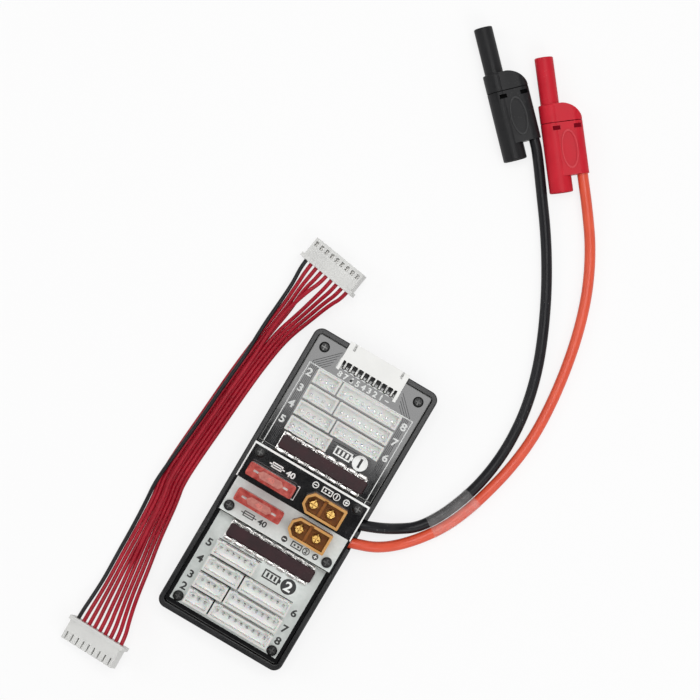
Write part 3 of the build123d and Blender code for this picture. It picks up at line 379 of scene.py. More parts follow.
def mix_colours(tree, factor, low, high):
    """The colour between low and high that a value output asks for."""
    blend = tree.nodes.new("ShaderNodeMix")
    blend.data_type = "RGBA"
    tree.links.new(factor, blend.inputs["Factor"])
    for socket, colour in (("A", low), ("B", high)):
        target = [s for s in blend.inputs if s.name == socket and s.type == "RGBA"][0]
        if isinstance(colour, bpy.types.NodeSocket):
            tree.links.new(colour, target)
        else:
            target.default_value = (*colour, 1.0)
    return [s for s in blend.outputs if s.type == "RGBA"][0]


def vary(tree, value, low, high):
    """A value output moved to the range low to high."""
    spread = node(tree, "ShaderNodeMapRange",
                  {"From Min": 0.3, "From Max": 0.7, "To Min": low, "To Max": high})
    tree.links.new(value, spread.inputs["Value"])
    return spread.outputs["Result"]


def mottled(tree, grain, low, high, most=1.0):
    """Two near colours mottled together."""
    return mix_colours(tree, vary(tree, grain.outputs["Mottle"], 0.0, most), low, high)


def roughen(tree, bsdf, value, low, high):
    """Roughness that wanders between low and high."""
    tree.links.new(vary(tree, value, low, high), bsdf.inputs["Roughness"])


def bump(tree, bsdf, height, strength, distance):
    ridge = node(tree, "ShaderNodeBump", {"Strength": strength, "Distance": distance})
    tree.links.new(height, ridge.inputs["Height"])
    tree.links.new(ridge.outputs["Normal"], bsdf.inputs["Normal"])
    return ridge


def moulded(name, colour, pale, roughness, fine=2500.0, broad=120.0, depth=0.25, dust=0.0, **sockets):
    """Moulded plastic or rubber: two near colours mottled together, fine grain and a few specks of dust."""
    mat, bsdf = finish_of(name, **sockets)
    tree = mat.node_tree
    grain = place_group(tree, GRAIN, Fine=fine, Broad=broad)
    base = mottled(tree, grain, colour, pale)
    if dust:
        specks = place_group(tree, DUST, Amount=dust)
        base = mix_colours(tree, specks.outputs["Mask"], base, DUST_COLOUR)
    tree.links.new(base, bsdf.inputs["Base Color"])
    roughen(tree, bsdf, grain.outputs["Mottle"], roughness - 0.05, roughness + 0.06)
    bump(tree, bsdf, grain.outputs["Height"], depth, 0.05 * MM)
    return mat


def plated(name, colour, tarnish, roughness, depth=0.3):
    """Plated or stamped metal with faint tarnish and drawing marks."""
    mat, bsdf = finish_of(name, Metallic=1.0)
    tree = mat.node_tree
    grain = place_group(tree, GRAIN, Fine=1800.0, Broad=500.0)
    base = mottled(tree, grain, colour, tarnish, 0.8)
    tree.links.new(base, bsdf.inputs["Base Color"])
    roughen(tree, bsdf, grain.outputs["Mottle"], roughness - 0.06, roughness + 0.1)
    bump(tree, bsdf, grain.outputs["Height"], depth, 0.04 * MM)
    return mat


def upward(tree, vector):
    """The Z part of a direction or a place."""
    split = tree.nodes.new("ShaderNodeSeparateXYZ")
    tree.links.new(vector, split.inputs["Vector"])
    return split.outputs["Z"]


def height_mask(tree, low, high):
    """0 below height low and 1 above height high, in mm."""
    coords = tree.nodes.new("ShaderNodeTexCoord")
    height = upward(tree, coords.outputs["Object"])
    spread = node(tree, "ShaderNodeMapRange", {"From Min": low * MM, "From Max": high * MM})
    tree.links.new(height, spread.inputs["Value"])
    return spread.outputs["Result"]


def solder_mask_board():
    """Circuit board: glossy black solder mask above and below, glass-fibre edge."""
    mat, bsdf = finish_of("solder_mask_board", Specular_IOR_Level=0.8)
    tree = mat.node_tree
    grain = place_group(tree, GRAIN, Fine=900.0, Broad=260.0)
    mask = mottled(tree, grain, (0.004, 0.004, 0.005), (0.008, 0.008, 0.009))
    weave = mix_colours(tree, vary(tree, grain.outputs["Height"], 0, 1),
                        (0.20, 0.17, 0.09), (0.33, 0.30, 0.18))
    turned = node(tree, "ShaderNodeMath", operation="ABSOLUTE")
    face = tree.nodes.new("ShaderNodeNewGeometry")
    tree.links.new(upward(tree, face.outputs["Normal"]), turned.inputs[0])
    tree.links.new(mix_colours(tree, turned.outputs["Value"], weave, mask), bsdf.inputs["Base Color"])
    roughen(tree, bsdf, grain.outputs["Mottle"], 0.06, 0.09)
    bump(tree, bsdf, grain.outputs["Height"], 0.02, 0.02 * MM)
    return mat


def nylon_with_painted_rim_shading(name, painted_rim_heights, body, rim, roughness, broad, depth, **sockets):
    """Nylon that lets light in, with another pair of colours along its top rim that paints light on it:
    painted shade where that pair is darker, painted highlight where it is lighter.
    """
    mat, bsdf = finish_of(name, **sockets)
    tree = mat.node_tree
    grain = place_group(tree, GRAIN, Fine=1600.0, Broad=broad)
    low = mottled(tree, grain, *body)
    # painted rim shading: the rim's colours stand in for how light falls on the top rim
    high = mottled(tree, grain, *rim)
    tree.links.new(mix_colours(tree, height_mask(tree, *painted_rim_heights), low, high), bsdf.inputs["Base Color"])
    roughen(tree, bsdf, grain.outputs["Mottle"], *roughness)
    bump(tree, bsdf, grain.outputs["Height"], depth, 0.04 * MM)
    return mat


def clear_red_plastic():
    """Clear red fuse plastic, cloudy enough to glow."""
    mat, bsdf = finish_of("clear_red_plastic", Transmission_Weight=0.36, IOR=1.5, Specular_IOR_Level=0.3)
    tree = mat.node_tree
    grain = place_group(tree, GRAIN, Fine=1200.0, Broad=520.0)
    base = mottled(tree, grain, (0.40, 0.018, 0.014), (0.78, 0.13, 0.095))
    tree.links.new(base, bsdf.inputs["Base Color"])
    roughen(tree, bsdf, grain.outputs["Mottle"], 0.14, 0.26)
    bump(tree, bsdf, grain.outputs["Height"], 0.15, 0.03 * MM)
    return mat


def clear_sleeve():
    """Thin clear heat-shrink film."""
    mat, bsdf = finish_of("clear_sleeve", IOR=1.45, Roughness=0.18)
    tree = mat.node_tree
    grain = place_group(tree, GRAIN, Fine=700.0, Broad=240.0)
    base = mottled(tree, grain, (0.85, 0.83, 0.82), (0.95, 0.93, 0.92))
    tree.links.new(base, bsdf.inputs["Base Color"])
    tree.links.new(vary(tree, grain.outputs["Mottle"], 0.03, 0.08), bsdf.inputs["Alpha"])
    bump(tree, bsdf, grain.outputs["Height"], 0.25, 0.05 * MM)
    return mat


def print_ink(name, colour, worn, **sockets):
    """Screen-printed ink, slightly uneven where the screen left it thin."""
    mat, bsdf = finish_of(name, **sockets)
    tree = mat.node_tree
    grain = place_group(tree, GRAIN, Fine=2200.0, Broad=700.0)
    base = mottled(tree, grain, colour, worn)
    tree.links.new(base, bsdf.inputs["Base Color"])
    roughen(tree, bsdf, grain.outputs["Height"], 0.42, 0.6)
    bump(tree, bsdf, grain.outputs["Height"], 0.2, 0.02 * MM)
    return mat


FINISHES = {
    "case": moulded("tray_abs", (0.007, 0.007, 0.008), (0.012, 0.012, 0.013), 0.28, depth=0.2, dust=0.15,
                    Specular_IOR_Level=0.38),
    "board": solder_mask_board(),
    # painted shade: the sockets' top rim is drawn in a darker grey than their white walls
    "header": nylon_with_painted_rim_shading("header_nylon_painted_rim_shade", [MAIN_TOP + SOCKET_HEIGHT - drop for drop in SOCKET_PAINTED_SHADE_RIM],
                           ((0.93, 0.94, 0.92), (0.96, 0.96, 0.94)),
                           ((0.60, 0.60, 0.58), (0.66, 0.66, 0.63)), (0.40, 0.52), 240.0, 0.15,
                           Subsurface_Weight=0.2, Subsurface_Scale=0.8 * MM, Specular_IOR_Level=0.3),
    "tinned": plated("tin_plate", (0.52, 0.51, 0.50), (0.34, 0.33, 0.32), 0.30),
    "polyfuse": plated("solder_coat", (0.86, 0.85, 0.83), (0.46, 0.44, 0.42), 0.34, depth=0.2),
    "cover": moulded("maroon_film", (0.020, 0.006, 0.008), (0.040, 0.011, 0.015), 0.42, broad=260.0,
                     dust=0.06, Specular_IOR_Level=0.25),
    "fuse_clear": clear_red_plastic(),
    "fuse_metal": plated("stamped_zinc", (0.44, 0.38, 0.36), (0.30, 0.26, 0.25), 0.4),
    # painted highlight: the ports' top rim is drawn in a paler amber than their body, where its edges catch
    # light
    "port": nylon_with_painted_rim_shading("amber_nylon_painted_rim_highlight", PORT_PAINTED_HIGHLIGHT_RIM,
                         ((0.27, 0.085, 0.006), (0.37, 0.130, 0.012)),
                         ((0.50, 0.25, 0.065), (0.60, 0.33, 0.11)), (0.34, 0.46), 200.0, 0.2,
                         Subsurface_Weight=0.25, Subsurface_Scale=1.2 * MM,
                         Subsurface_Radius=(1.0, 0.45, 0.15), Specular_IOR_Level=0.2),
    "gold": plated("gold_plate", (0.70, 0.46, 0.15), (0.46, 0.28, 0.08), 0.28),
    "screw": moulded("black_oxide", (0.008, 0.008, 0.008), (0.014, 0.014, 0.014), 0.30, depth=0.15,
                     Specular_IOR_Level=0.3),
    "spacer": plated("turned_brass", (0.72, 0.56, 0.26), (0.52, 0.38, 0.16), 0.3),
    "silicone_black": moulded("black_silicone", (0.006, 0.006, 0.008), (0.011, 0.011, 0.013), 0.36, dust=0.25,
                              Specular_IOR_Level=0.22),
    "silicone_red": moulded("red_silicone", (0.66, 0.065, 0.025), (0.74, 0.090, 0.035), 0.36, dust=0.1),
    "sleeve": clear_sleeve(),
    "plug_black": moulded("black_plug_plastic", (0.009, 0.009, 0.010), (0.014, 0.014, 0.015), 0.46, dust=0.04,
                          Specular_IOR_Level=0.2),
    "plug_red": moulded("red_plug_plastic", (0.50, 0.009, 0.022), (0.57, 0.015, 0.030), 0.46, dust=0.08,
                        Specular_IOR_Level=0.18),
    "lead_black": moulded("black_vinyl", (0.008, 0.008, 0.009), (0.014, 0.014, 0.016), 0.40,
                          Specular_IOR_Level=0.25),
    "lead_red": moulded("red_vinyl", (0.29, 0.005, 0.016), (0.40, 0.010, 0.026), 0.36,
                        Specular_IOR_Level=0.22),
}
OWN_FINISHES = {
    "balance_inlet_housing": moulded("inlet_nylon", (0.76, 0.76, 0.74), (0.82, 0.82, 0.80), 0.45, depth=0.15,
                                     Specular_IOR_Level=0.3),
    # painted shade: the inlet's pins and their solder are drawn in darker tin than the rest, for the shade
    # they stand in
    "balance_inlet_pins": plated("tin_in_painted_shade", (0.40, 0.40, 0.39), (0.20, 0.20, 0.195), 0.34),
    "lead_upper_housing": moulded("lead_nylon", (0.60, 0.60, 0.585), (0.68, 0.68, 0.66), 0.45, depth=0.15,
                                  Specular_IOR_Level=0.3),
    "lead_contacts": plated("bright_tin", (0.88, 0.87, 0.85), (0.66, 0.65, 0.62), 0.3),
}
OWN_FINISHES["lead_lower_housing"] = OWN_FINISHES["lead_upper_housing"]
# painted highlight: paler metal in the screw heads' cross recesses, standing in for light on the recess's
# flanks
SCREW_CROSS_HIGHLIGHT = plated("screw_cross", (0.12, 0.12, 0.117), (0.055, 0.055, 0.055), 0.3)
# painted shade: matte dark ink in the plugs' seams and latch slots
SEAM_SHADES = {
    "black": print_ink("black_painted_seam_shade", (0.002, 0.002, 0.002), (0.004, 0.004, 0.004), Specular_IOR_Level=0.0),
    "red": print_ink("red_painted_seam_shade", (0.14, 0.003, 0.009), (0.18, 0.005, 0.012), Specular_IOR_Level=0.0),
}
# painted highlight: paler plastic along the crest of each plug's oval ridge
RIDGE_HIGHLIGHTS = {
    "black": print_ink("black_painted_ridge_highlight", (0.018, 0.018, 0.019), (0.026, 0.026, 0.027), Specular_IOR_Level=0.3),
    "red": print_ink("red_painted_ridge_highlight", (0.56, 0.026, 0.042), (0.62, 0.040, 0.055), Specular_IOR_Level=0.3),
}
BLOCK_INK = print_ink("white_block_ink", (0.62, 0.66, 0.635), (0.70, 0.73, 0.71))
WHITE_INK = print_ink("white_ink", (0.80, 0.82, 0.80), (0.88, 0.89, 0.88))
BLACK_INK = print_ink("black_ink", (0.012, 0.012, 0.012), (0.022, 0.022, 0.022))
TRACE = print_ink("masked_copper", (0.020, 0.020, 0.022), (0.032, 0.032, 0.035))
FROSTED = print_ink("frosted_red", (0.36, 0.080, 0.062), (0.52, 0.19, 0.15))
# painted highlight: paler red along each fuse's top rim and on its raised rating
FUSE_HIGHLIGHT_RED = print_ink("painted_red_highlight", (0.52, 0.095, 0.075), (0.66, 0.20, 0.16))
# painted highlight: a pale strip along the main board's edge, drawn as a reflection
EDGE_HIGHLIGHT_INK = print_ink("painted_edge_highlight", (0.15, 0.15, 0.145), (0.26, 0.26, 0.25))


def dress(piece, mat):
    piece.data.materials.clear()
    piece.data.materials.append(mat)


def dress_nodes():
    for part in frame["record"]["subparts"]:
        dress(NODES[part["node"]], OWN_FINISHES.get(part["node"], FINISHES[part["material_slot"]]))


# ================================================================ building pieces, in mm

def add_object(name, data):
    """A new object, linked into the scene."""
    made = bpy.data.objects.new(name, data)
    bpy.context.scene.collection.objects.link(made)
    return made


def box_mm(name):
    """The low and high corners of a node's box, in mm."""
    return [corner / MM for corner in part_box(name)]


def way_x(way):
    """The place across of a pin of the inlet, counted from 0."""
    return (way - (INLET_WAYS - 1) / 2) * PITCH


def settle(bm, name, mat, body="charger", smooth=False):
    """Turns a bmesh in millimetres into a piece on a body."""
    bmesh.ops.scale(bm, vec=(MM, MM, MM), verts=bm.verts)
    mesh = bpy.data.meshes.new(name)
    bm.to_mesh(mesh)
    bm.free()
    piece = add_object(name, mesh)
    mesh.materials.append(mat)
    for face in mesh.polygons:
        face.use_smooth = smooth
    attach(piece, body)
    return piece


def place(bm, verts, size, spot, turn=0.0):
    """Scales, turns about Z and moves some corners of a bmesh."""
    bmesh.ops.scale(bm, vec=size, verts=verts)
    bmesh.ops.rotate(bm, cent=(0, 0, 0), matrix=Matrix.Rotation(turn, 3, "Z"), verts=verts)
    bmesh.ops.translate(bm, vec=spot, verts=verts)
    return verts


def patch(bm, x0, y0, x1, y1):
    """A flat rectangle between two corners."""
    flat = bmesh.ops.create_grid(bm, x_segments=1, y_segments=1, size=0.5)["verts"]
    place(bm, flat, (x1 - x0, y1 - y0, 1), ((x0 + x1) / 2, (y0 + y1) / 2, 0))


def side_patch(bm, turn, inner, outer, low, high):
    """A flat rectangle between two distances from the middle, to the left where turn is -1."""
    near, far = turn * inner, turn * outer
    patch(bm, min(near, far), low, max(near, far), high)


def stroke(bm, start, end, width):
    """A flat line from one point to another."""
    run = Vector(end) - Vector(start)
    flat = bmesh.ops.create_grid(bm, x_segments=1, y_segments=1, size=0.5)["verts"]
    middle = (Vector(start) + Vector(end)) / 2
    place(bm, flat, (run.length + width * 0.5, width, 1), (*middle, 0), math.atan2(run.y, run.x))


def dot(bm, x, y, radius, sides=40):
    flat = bmesh.ops.create_circle(bm, cap_ends=True, segments=sides, radius=radius)["verts"]
    bmesh.ops.translate(bm, vec=(x, y, 0), verts=flat)


def ring(bm, x, y, radius, width, sides=40):
    """A flat ring, bridged between two circles."""
    loops = []
    for size in (radius, radius - width):
        loops += bmesh.ops.create_circle(bm, segments=sides, radius=size)["verts"]
    edges = list({edge for vert in loops for edge in vert.link_edges})
    bmesh.ops.bridge_loops(bm, edges=edges)
    bmesh.ops.translate(bm, vec=(x, y, 0), verts=loops)


def frame_line(bm, x0, y0, x1, y1, width):
    """The outline of a rectangle, with its outer edge at the corners given."""
    patch(bm, x0, y0, x1, y0 + width)
    patch(bm, x0, y1 - width, x1, y1)
    patch(bm, x0, y0 + width, x0 + width, y1 - width)
    patch(bm, x1 - width, y0 + width, x1, y1 - width)


def figure(bm, words, x, y, height):
    """Flat numbers centred on a point, as tall as asked."""
    curve = bpy.data.curves.new("figure", "FONT")
    curve.body = words
    curve.offset = BOLD
    glyph = add_object("figure", curve)
    bpy.context.view_layer.update()
    mesh = bpy.data.meshes.new_from_object(glyph)
    bpy.data.objects.remove(glyph)
    low, high = [Vector([pick(v.co[k] for v in mesh.vertices) for k in range(3)]) for pick in (min, max)]
    rise = height / (high.y - low.y)
    stretch = Matrix.Diagonal((rise * WIDE, rise, rise, 1))
    middle = (low + high) / 2
    mesh.transform(Matrix.Translation((x, y, 0)) @ stretch @ Matrix.Translation(-middle))
    bm.from_mesh(mesh)
    bpy.data.meshes.remove(mesh)


def thicken(bm, low, thickness):
    """Gives flat shapes their thickness, standing on a height."""
    bmesh.ops.remove_doubles(bm, verts=bm.verts, dist=0.0005)
    bmesh.ops.recalc_face_normals(bm, faces=bm.faces)
    for face in bm.faces:
        if face.normal.z < 0:
            face.normal_flip()
    grown = bmesh.ops.extrude_face_region(bm, geom=bm.faces[:], use_keep_orig=True)["geom"]
    raised = [part for part in grown if isinstance(part, bmesh.types.BMVert)]
    bmesh.ops.translate(bm, vec=(0, 0, thickness), verts=raised)
    bmesh.ops.translate(bm, vec=(0, 0, low), verts=bm.verts)
    bmesh.ops.recalc_face_normals(bm, faces=bm.faces)

def soften(bm, edges, width, segments=2):
    """Rounds edges off."""
    bmesh.ops.bevel(bm, geom=edges, offset=width, affect="EDGES", segments=segments, profile=0.5,
                    material=-1)


def socket_length(ways):
    return (ways - 1) * PITCH + SOCKET_END


# ================================================================ printed marks

def cell_mark(bm, x, y, length, height, line):
    """A battery cell's sign: an outline with its pole and three bars."""
    frame_line(bm, x, y - height / 2, x + length - line, y + height / 2, line)
    patch(bm, x + length - line, y - height * 0.2, x + length, y + height * 0.2)
    for share in (0.2, 0.42, 0.64):
        patch(bm, x + length * share, y - height * 0.27, x + length * (share + 0.11), y + height * 0.27)


def port_mark(bm, x, y, length, height, line):
    """A two-pole port's sign: its outline and two poles."""
    frame_line(bm, x, y - height / 2, x + length, y + height / 2, line)
    for share in (0.32, 0.68):
        dot(bm, x + length * share, y, height * 0.17, 20)


def fuse_mark(bm, x, y, length, height, line):
    """A fuse's sign: a box with a wire through it."""
    frame_line(bm, x + length * 0.16, y - height / 2, x + length * 0.84, y + height / 2, line)
    patch(bm, x, y - line / 2, x + length, y + line / 2)


def pole_mark(bm, x, y, radius, line, plus):
    """A round pole sign with a minus, or a plus, inside it."""
    ring(bm, x, y, radius, line)
    arm = radius * 0.58
    patch(bm, x - arm, y - line / 2, x + arm, y + line / 2)
    if plus:
        patch(bm, x - line / 2, y - arm, x + line / 2, y - line / 2)
        patch(bm, x - line / 2, y + line / 2, x + line / 2, y + arm)


def bank_a_print():
    """White marks round bank A: frame, cell counts, pin numbers and the inlet's bracket."""
    bm = bmesh.new()
    side, bottom, top = FRAME_A
    patch(bm, -side, top - FRAME_LINE, side, top)
    for turn in (-1, 1):
        side_patch(bm, turn, side - FRAME_LINE, side, bottom, top - FRAME_LINE)
        side_patch(bm, turn, *BRACKET_X, *BRACKET_Y)
    for y in BRACKET_BARS:
        patch(bm, -BRACKET_X[0], y, BRACKET_X[0], y + BRACKET_BAR)
    for counts, x in (("2345", -COUNT_X), ("876", COUNT_X)):
        for cells, y in zip(counts, BANK_A_ROWS):
            figure(bm, cells, x, y - COUNT_DROP, DIGIT)
    for index, pin in enumerate("87654321"):
        figure(bm, pin, way_x(index) - PIN_NUMBER_SHIFT, PIN_NUMBER_Y, SMALL_DIGIT)
    last = way_x(INLET_WAYS - 1)
    patch(bm, last - PIN_DASH_X[0], PIN_DASH_Y[0], last + PIN_DASH_X[1], PIN_DASH_Y[1])
    cell_mark(bm, *CELL_A)
    dot(bm, *DISC_A, DISC_RADIUS)
    thicken(bm, MAIN_TOP, INK)
    settle(bm, "print_bank_a", WHITE_INK)


def bank_b_print():
    """The white block that bank B stands in, its black figures and signs, and black lines along the top edges
    of its socket rows and in the gaps between its sockets.
    """
    bm = bmesh.new()
    patch(bm, *BLOCK_B)
    thicken(bm, MAIN_TOP, INK)
    settle(bm, "print_bank_b_block", BLOCK_INK)
    bm = bmesh.new()
    for counts, x, heights in (("5432", -COUNT_X, COUNTS_B_Y), ("678", COUNT_X, COUNTS_B_Y[1:])):
        for cells, y in zip(counts, heights):
            figure(bm, cells, x, y, DIGIT)
    cell_mark(bm, *CELL_B)
    dot(bm, *DISC_B, DISC_RADIUS)
    for (left, right), y in zip(BANK_COLUMNS, BANK_B_ROWS):
        edge = y + SOCKET_DEPTH / 2
        from_left = BANK_LEFT + socket_length(left)
        patch(bm, BANK_LEFT, edge, from_left + EDGE_PAST, edge + EDGE_LINE)
        if right:
            patch(bm, from_left, edge - SOCKET_DEPTH, BANK_RIGHT - socket_length(right), edge)
    edge = BANK_B_ROWS[2] + SOCKET_DEPTH / 2
    from_left = BANK_LEFT + socket_length(BANK_COLUMNS[2][0])
    patch(bm, from_left + EDGE_PAST, edge, BANK_RIGHT, edge + EDGE_LINE)
    thicken(bm, MAIN_TOP + INK, INK)
    settle(bm, "print_bank_b", BLACK_INK)


def bank_numbers():
    """The number in each bank's disc, in the disc's opposite ink."""
    for bank, spot, ink in (("1", DISC_A, BLACK_INK), ("2", DISC_B, WHITE_INK)):
        bm = bmesh.new()
        figure(bm, bank, *spot, BANK_DIGIT)
        thicken(bm, MAIN_TOP + 2 * INK, INK)
        settle(bm, f"print_bank_number_{bank}", ink)


def power_print():
    """The power board's two halves: white on black for A, black on a white block for B."""
    half = POWER_SIZE.x / 2
    top = POWER_MIDDLE + POWER_SIZE.y / 2
    bottom = POWER_MIDDLE - POWER_SIZE.y / 2
    bm = bmesh.new()
    patch(bm, -half + POWER_BLOCK_SIDE, bottom + POWER_BLOCK_END, half - POWER_BLOCK_SIDE, SPLIT)
    thicken(bm, POWER_TOP, INK)
    settle(bm, "print_power_block", BLOCK_INK)
    bm = bmesh.new()
    border = top - POWER_END - POWER_BORDER
    patch(bm, -half + POWER_SIDE, border, half - POWER_SIDE, top - POWER_END)
    for turn in (-1, 1):
        side_patch(bm, turn, half - POWER_SIDE - POWER_SIDE_BORDER, half - POWER_SIDE, SPLIT, border)
    fuse_mark(bm, *FUSE_SIGN_A)
    figure(bm, "40", RATING_X, FUSE_SIGN_A[1], RATING_DIGIT)
    pole_mark(bm, MINUS_A, PORT_ROW_A, *POLE_SIGN, False)
    port_mark(bm, *PORT_SIGN_A)
    ring(bm, PORT_RING_A, PORT_ROW_A, *PORT_RING)
    figure(bm, "1", PORT_RING_A, PORT_ROW_A, PORT_DIGIT)
    pole_mark(bm, PLUS_A, PORT_ROW_A, *POLE_SIGN, True)
    for corners in BRACE:
        patch(bm, *corners)
    thicken(bm, POWER_TOP, INK)
    settle(bm, "print_power_white", WHITE_INK)
    bm = bmesh.new()
    fuse_mark(bm, *FUSE_SIGN_B)
    figure(bm, "40", RATING_X, FUSE_SIGN_B[1], RATING_DIGIT)
    for x in POLES_B:
        dot(bm, x, PORT_ROW_B, POLE_DISC)
    port_mark(bm, *PORT_SIGN_B)
    ring(bm, PORT_RING_B, PORT_ROW_B, *PORT_RING)
    figure(bm, "2", PORT_RING_B, PORT_ROW_B, PORT_DIGIT)
    thicken(bm, POWER_TOP + INK, INK)
    settle(bm, "print_power_black", BLACK_INK)
    bm = bmesh.new()
    for corners in POLE_BARS_B:
        patch(bm, *corners)
    thicken(bm, POWER_TOP + 2 * INK, INK)
    settle(bm, "print_power_poles", WHITE_INK)


def lane_at(spacing, lane):
    """A lane's place, from the first lane's and the step to the next."""
    first, step = spacing
    return first + step * lane


def copper_traces():
    """Copper tracks under the mask: down both margins and in to the inlet, and four across the board."""
    bm = bmesh.new()
    for turn, count in TRACK_LANES:
        for lane in range(count):
            x = turn * lane_at(TRACK_X, lane)
            bend = lane_at(TRACK_BEND, lane)
            corner = turn * lane_at(TRACK_CORNER, lane)
            stroke(bm, (x, lane_at(TRACK_START, lane)), (x, bend), TRACK_WIDTH)
            stroke(bm, (x, bend), (corner, bend + abs(x - corner)), TRACK_WIDTH)
    for lane in range(CROSS_TRACKS):
        start = (lane_at(CROSS_TRACK_X, lane), lane_at(CROSS_TRACK_Y, lane))
        stroke(bm, start, (CROSS_TRACK_END, lane_at(CROSS_TRACK_END_Y, lane)), CROSS_TRACK_WIDTH)
    thicken(bm, MAIN_TOP, INK * 0.5)
    settle(bm, "copper_traces", TRACE)


def via_and_painted_shade():
    """The open plated hole beside the pin numbers, and painted shade between the inlet and its pins: a matte
    black patch.
    """
    bm = bmesh.new()
    # painted shade: a matte black patch between the inlet and its pins
    patch(bm, *INLET_SHADE)
    dot(bm, *VIA)
    thicken(bm, MAIN_TOP + INK, INK)
    settle(bm, "via_and_painted_shade", BLACK_INK)


def painted_board_edge_highlight():
    """Painted highlight along the routed edge of the main board round bank A: a pale strip on its top, from
    where the sheen on the mask begins.
    """
    low, high = box_mm("main_board")
    bm = bmesh.new()
    frame_line(bm, low.x, EDGE_HIGHLIGHT_FROM, high.x, high.y, EDGE_HIGHLIGHT_WIDTH)
    thicken(bm, MAIN_TOP, INK)
    settle(bm, "painted_board_edge_highlight", EDGE_HIGHLIGHT_INK)


# ================================================================ solder and small parts

def blob(bm, x, y, z, size, seed):
    """A lump of solder, squared off along its pad and pushed about by noise."""
    verts = bmesh.ops.create_icosphere(bm, subdivisions=3, radius=1.0)["verts"]
    for vert in verts:
        vert.co = Vector([math.copysign(abs(c) ** LUMP_SQUARENESS, c) for c in vert.co])
        shift = Vector((seed * 3.7, seed * 1.9, 0))
        vert.co *= 1.0 + LUMP_DENTS * noise.noise(vert.co * LUMP_DENT_SCALE + shift)
    place(bm, verts, size, (x, y, z))


def chip_solder():
    """Solder on both ends of each resettable fuse, drawn up in uneven fillets."""
    bm = bmesh.new()
    wide, deep, tall = LUMP
    seed = 0
    for row in ROWS_OF_CHIPS:
        for index in range(CHIPS):
            x = CHIP_X + (index - (CHIPS - 1) / 2) * CHIP_PITCH
            for end in (-1, 1):
                seed += 1
                wobble = LUMP_WOBBLE * noise.noise(Vector((seed * 0.73, 0, 0)))
                y = row + end * (CHIP_END - LUMP_INSET + wobble)
                blob(bm, x, y, MAIN_TOP + LUMP_RISE, (wide + wobble, deep + wobble, tall), seed)
    settle(bm, "chip_solder", FINISHES["polyfuse"], smooth=True)


def pin_solder():
    """Tinned cones where the inlet's pins enter the board, in the pins' darker tin, which paints shade."""
    bm = bmesh.new()
    low, high = CONE_RADII
    for way in range(INLET_WAYS):
        cone = bmesh.ops.create_cone(bm, cap_ends=True, segments=20, radius1=low, radius2=high,
                                     depth=CONE_HEIGHT)["verts"]
        place(bm, cone, (1, 1, 1), (way_x(way), INLET_PIN_Y, MAIN_TOP + CONE_HEIGHT / 2))
    soften(bm, bm.edges[:], CONE_EDGE)
    settle(bm, "pin_solder", OWN_FINISHES["balance_inlet_pins"], smooth=True)


def screw_cross_highlights():
    """Painted highlight in the cross cut in each screw head: a flat cross of paler metal set near the top of
    the recess.
    """
    for name in ("main_board_screws", "power_board_screws"):
        low, high = box_mm(name)
        bm = bmesh.new()
        for x in (low.x + SCREW_HEAD, high.x - SCREW_HEAD):
            for y in (low.y + SCREW_HEAD, high.y - SCREW_HEAD):
                patch(bm, x - CROSS_ARM, y - CROSS_BLADE, x + CROSS_ARM, y + CROSS_BLADE)
                patch(bm, x - CROSS_BLADE, y - CROSS_ARM, x + CROSS_BLADE, y - CROSS_BLADE)
                patch(bm, x - CROSS_BLADE, y + CROSS_BLADE, x + CROSS_BLADE, y + CROSS_ARM)
        thicken(bm, high.z - CROSS_FLOOR, CROSS_DEPTH)
        settle(bm, f"{name}_crosses", SCREW_CROSS_HIGHLIGHT)


def cube(bm, size, spot):
    """A box with its middle at a point."""
    verts = bmesh.ops.create_cube(bm, size=1.0)["verts"]
    return place(bm, verts, size, spot)


def settle_on_plug(bm, colour, name, mat):
    """Turns a bmesh in a plug's own frame into a piece on that plug."""
    (x, y), turn = PLUG_PLACES[colour]
    place(bm, bm.verts, (1, 1, 1), (x, y, PLUG_BARREL), math.radians(turn))
    settle(bm, name, mat)


def plug_seam_painted_shade(colour):
    """Painted shade in a plug's seam, round its barrel, flat sides and edge, and in its latch slots: dark
    sheets laid just above the floors of these recesses.
    """
    back, front = PLUG_SEAM
    middle = (front + back) / 2
    floor_radius = PLUG_BARREL - PLUG_SEAM_DEPTH + SEAM_RISE
    floor_flat = PLUG_FLAT - PLUG_SEAM_DEPTH + SEAM_RISE
    bm = bmesh.new()
    ring(bm, 0, 0, floor_radius, SEAM_BAND, ROUND_SIDES)
    thicken(bm, 0, front - back)
    upright = Matrix.Rotation(math.radians(90), 3, "X")
    bmesh.ops.rotate(bm, cent=(0, 0, 0), matrix=upright, verts=bm.verts)
    bmesh.ops.translate(bm, vec=(0, front, 0), verts=bm.verts)
    strip_x, strip_width, strip_depth = SEAM_STRIP
    for side in (-1, 1):
        cube(bm, (strip_width, front - back, strip_depth),
             (strip_x, middle, side * (floor_flat - strip_depth / 2)))
    width = PLUG_EDGE - PLUG_SEAM_DEPTH + SEAM_RISE - SEAM_EDGE_X
    edge = cube(bm, (width, front - back, 2 * floor_flat), (SEAM_EDGE_X + width / 2, middle, 0))
    outer = [e for e in bm.edges if all(v in edge for v in e.verts)
             and abs(e.verts[0].co.y - e.verts[1].co.y) > 0.1 and e.verts[0].co.x > SEAM_CORNER_X]
    soften(bm, outer, SEAM_CORNER, 8)
    for x in PLUG_SLOTS:
        cube(bm, PLUG_SLOT, (x, PLUG_SLOT_Y, PLUG_FLAT - PLUG_SEAM_DEPTH + PLUG_SLOT[2] / 2))
    settle_on_plug(bm, colour, f"plug_{colour}_seam", SEAM_SHADES[colour])


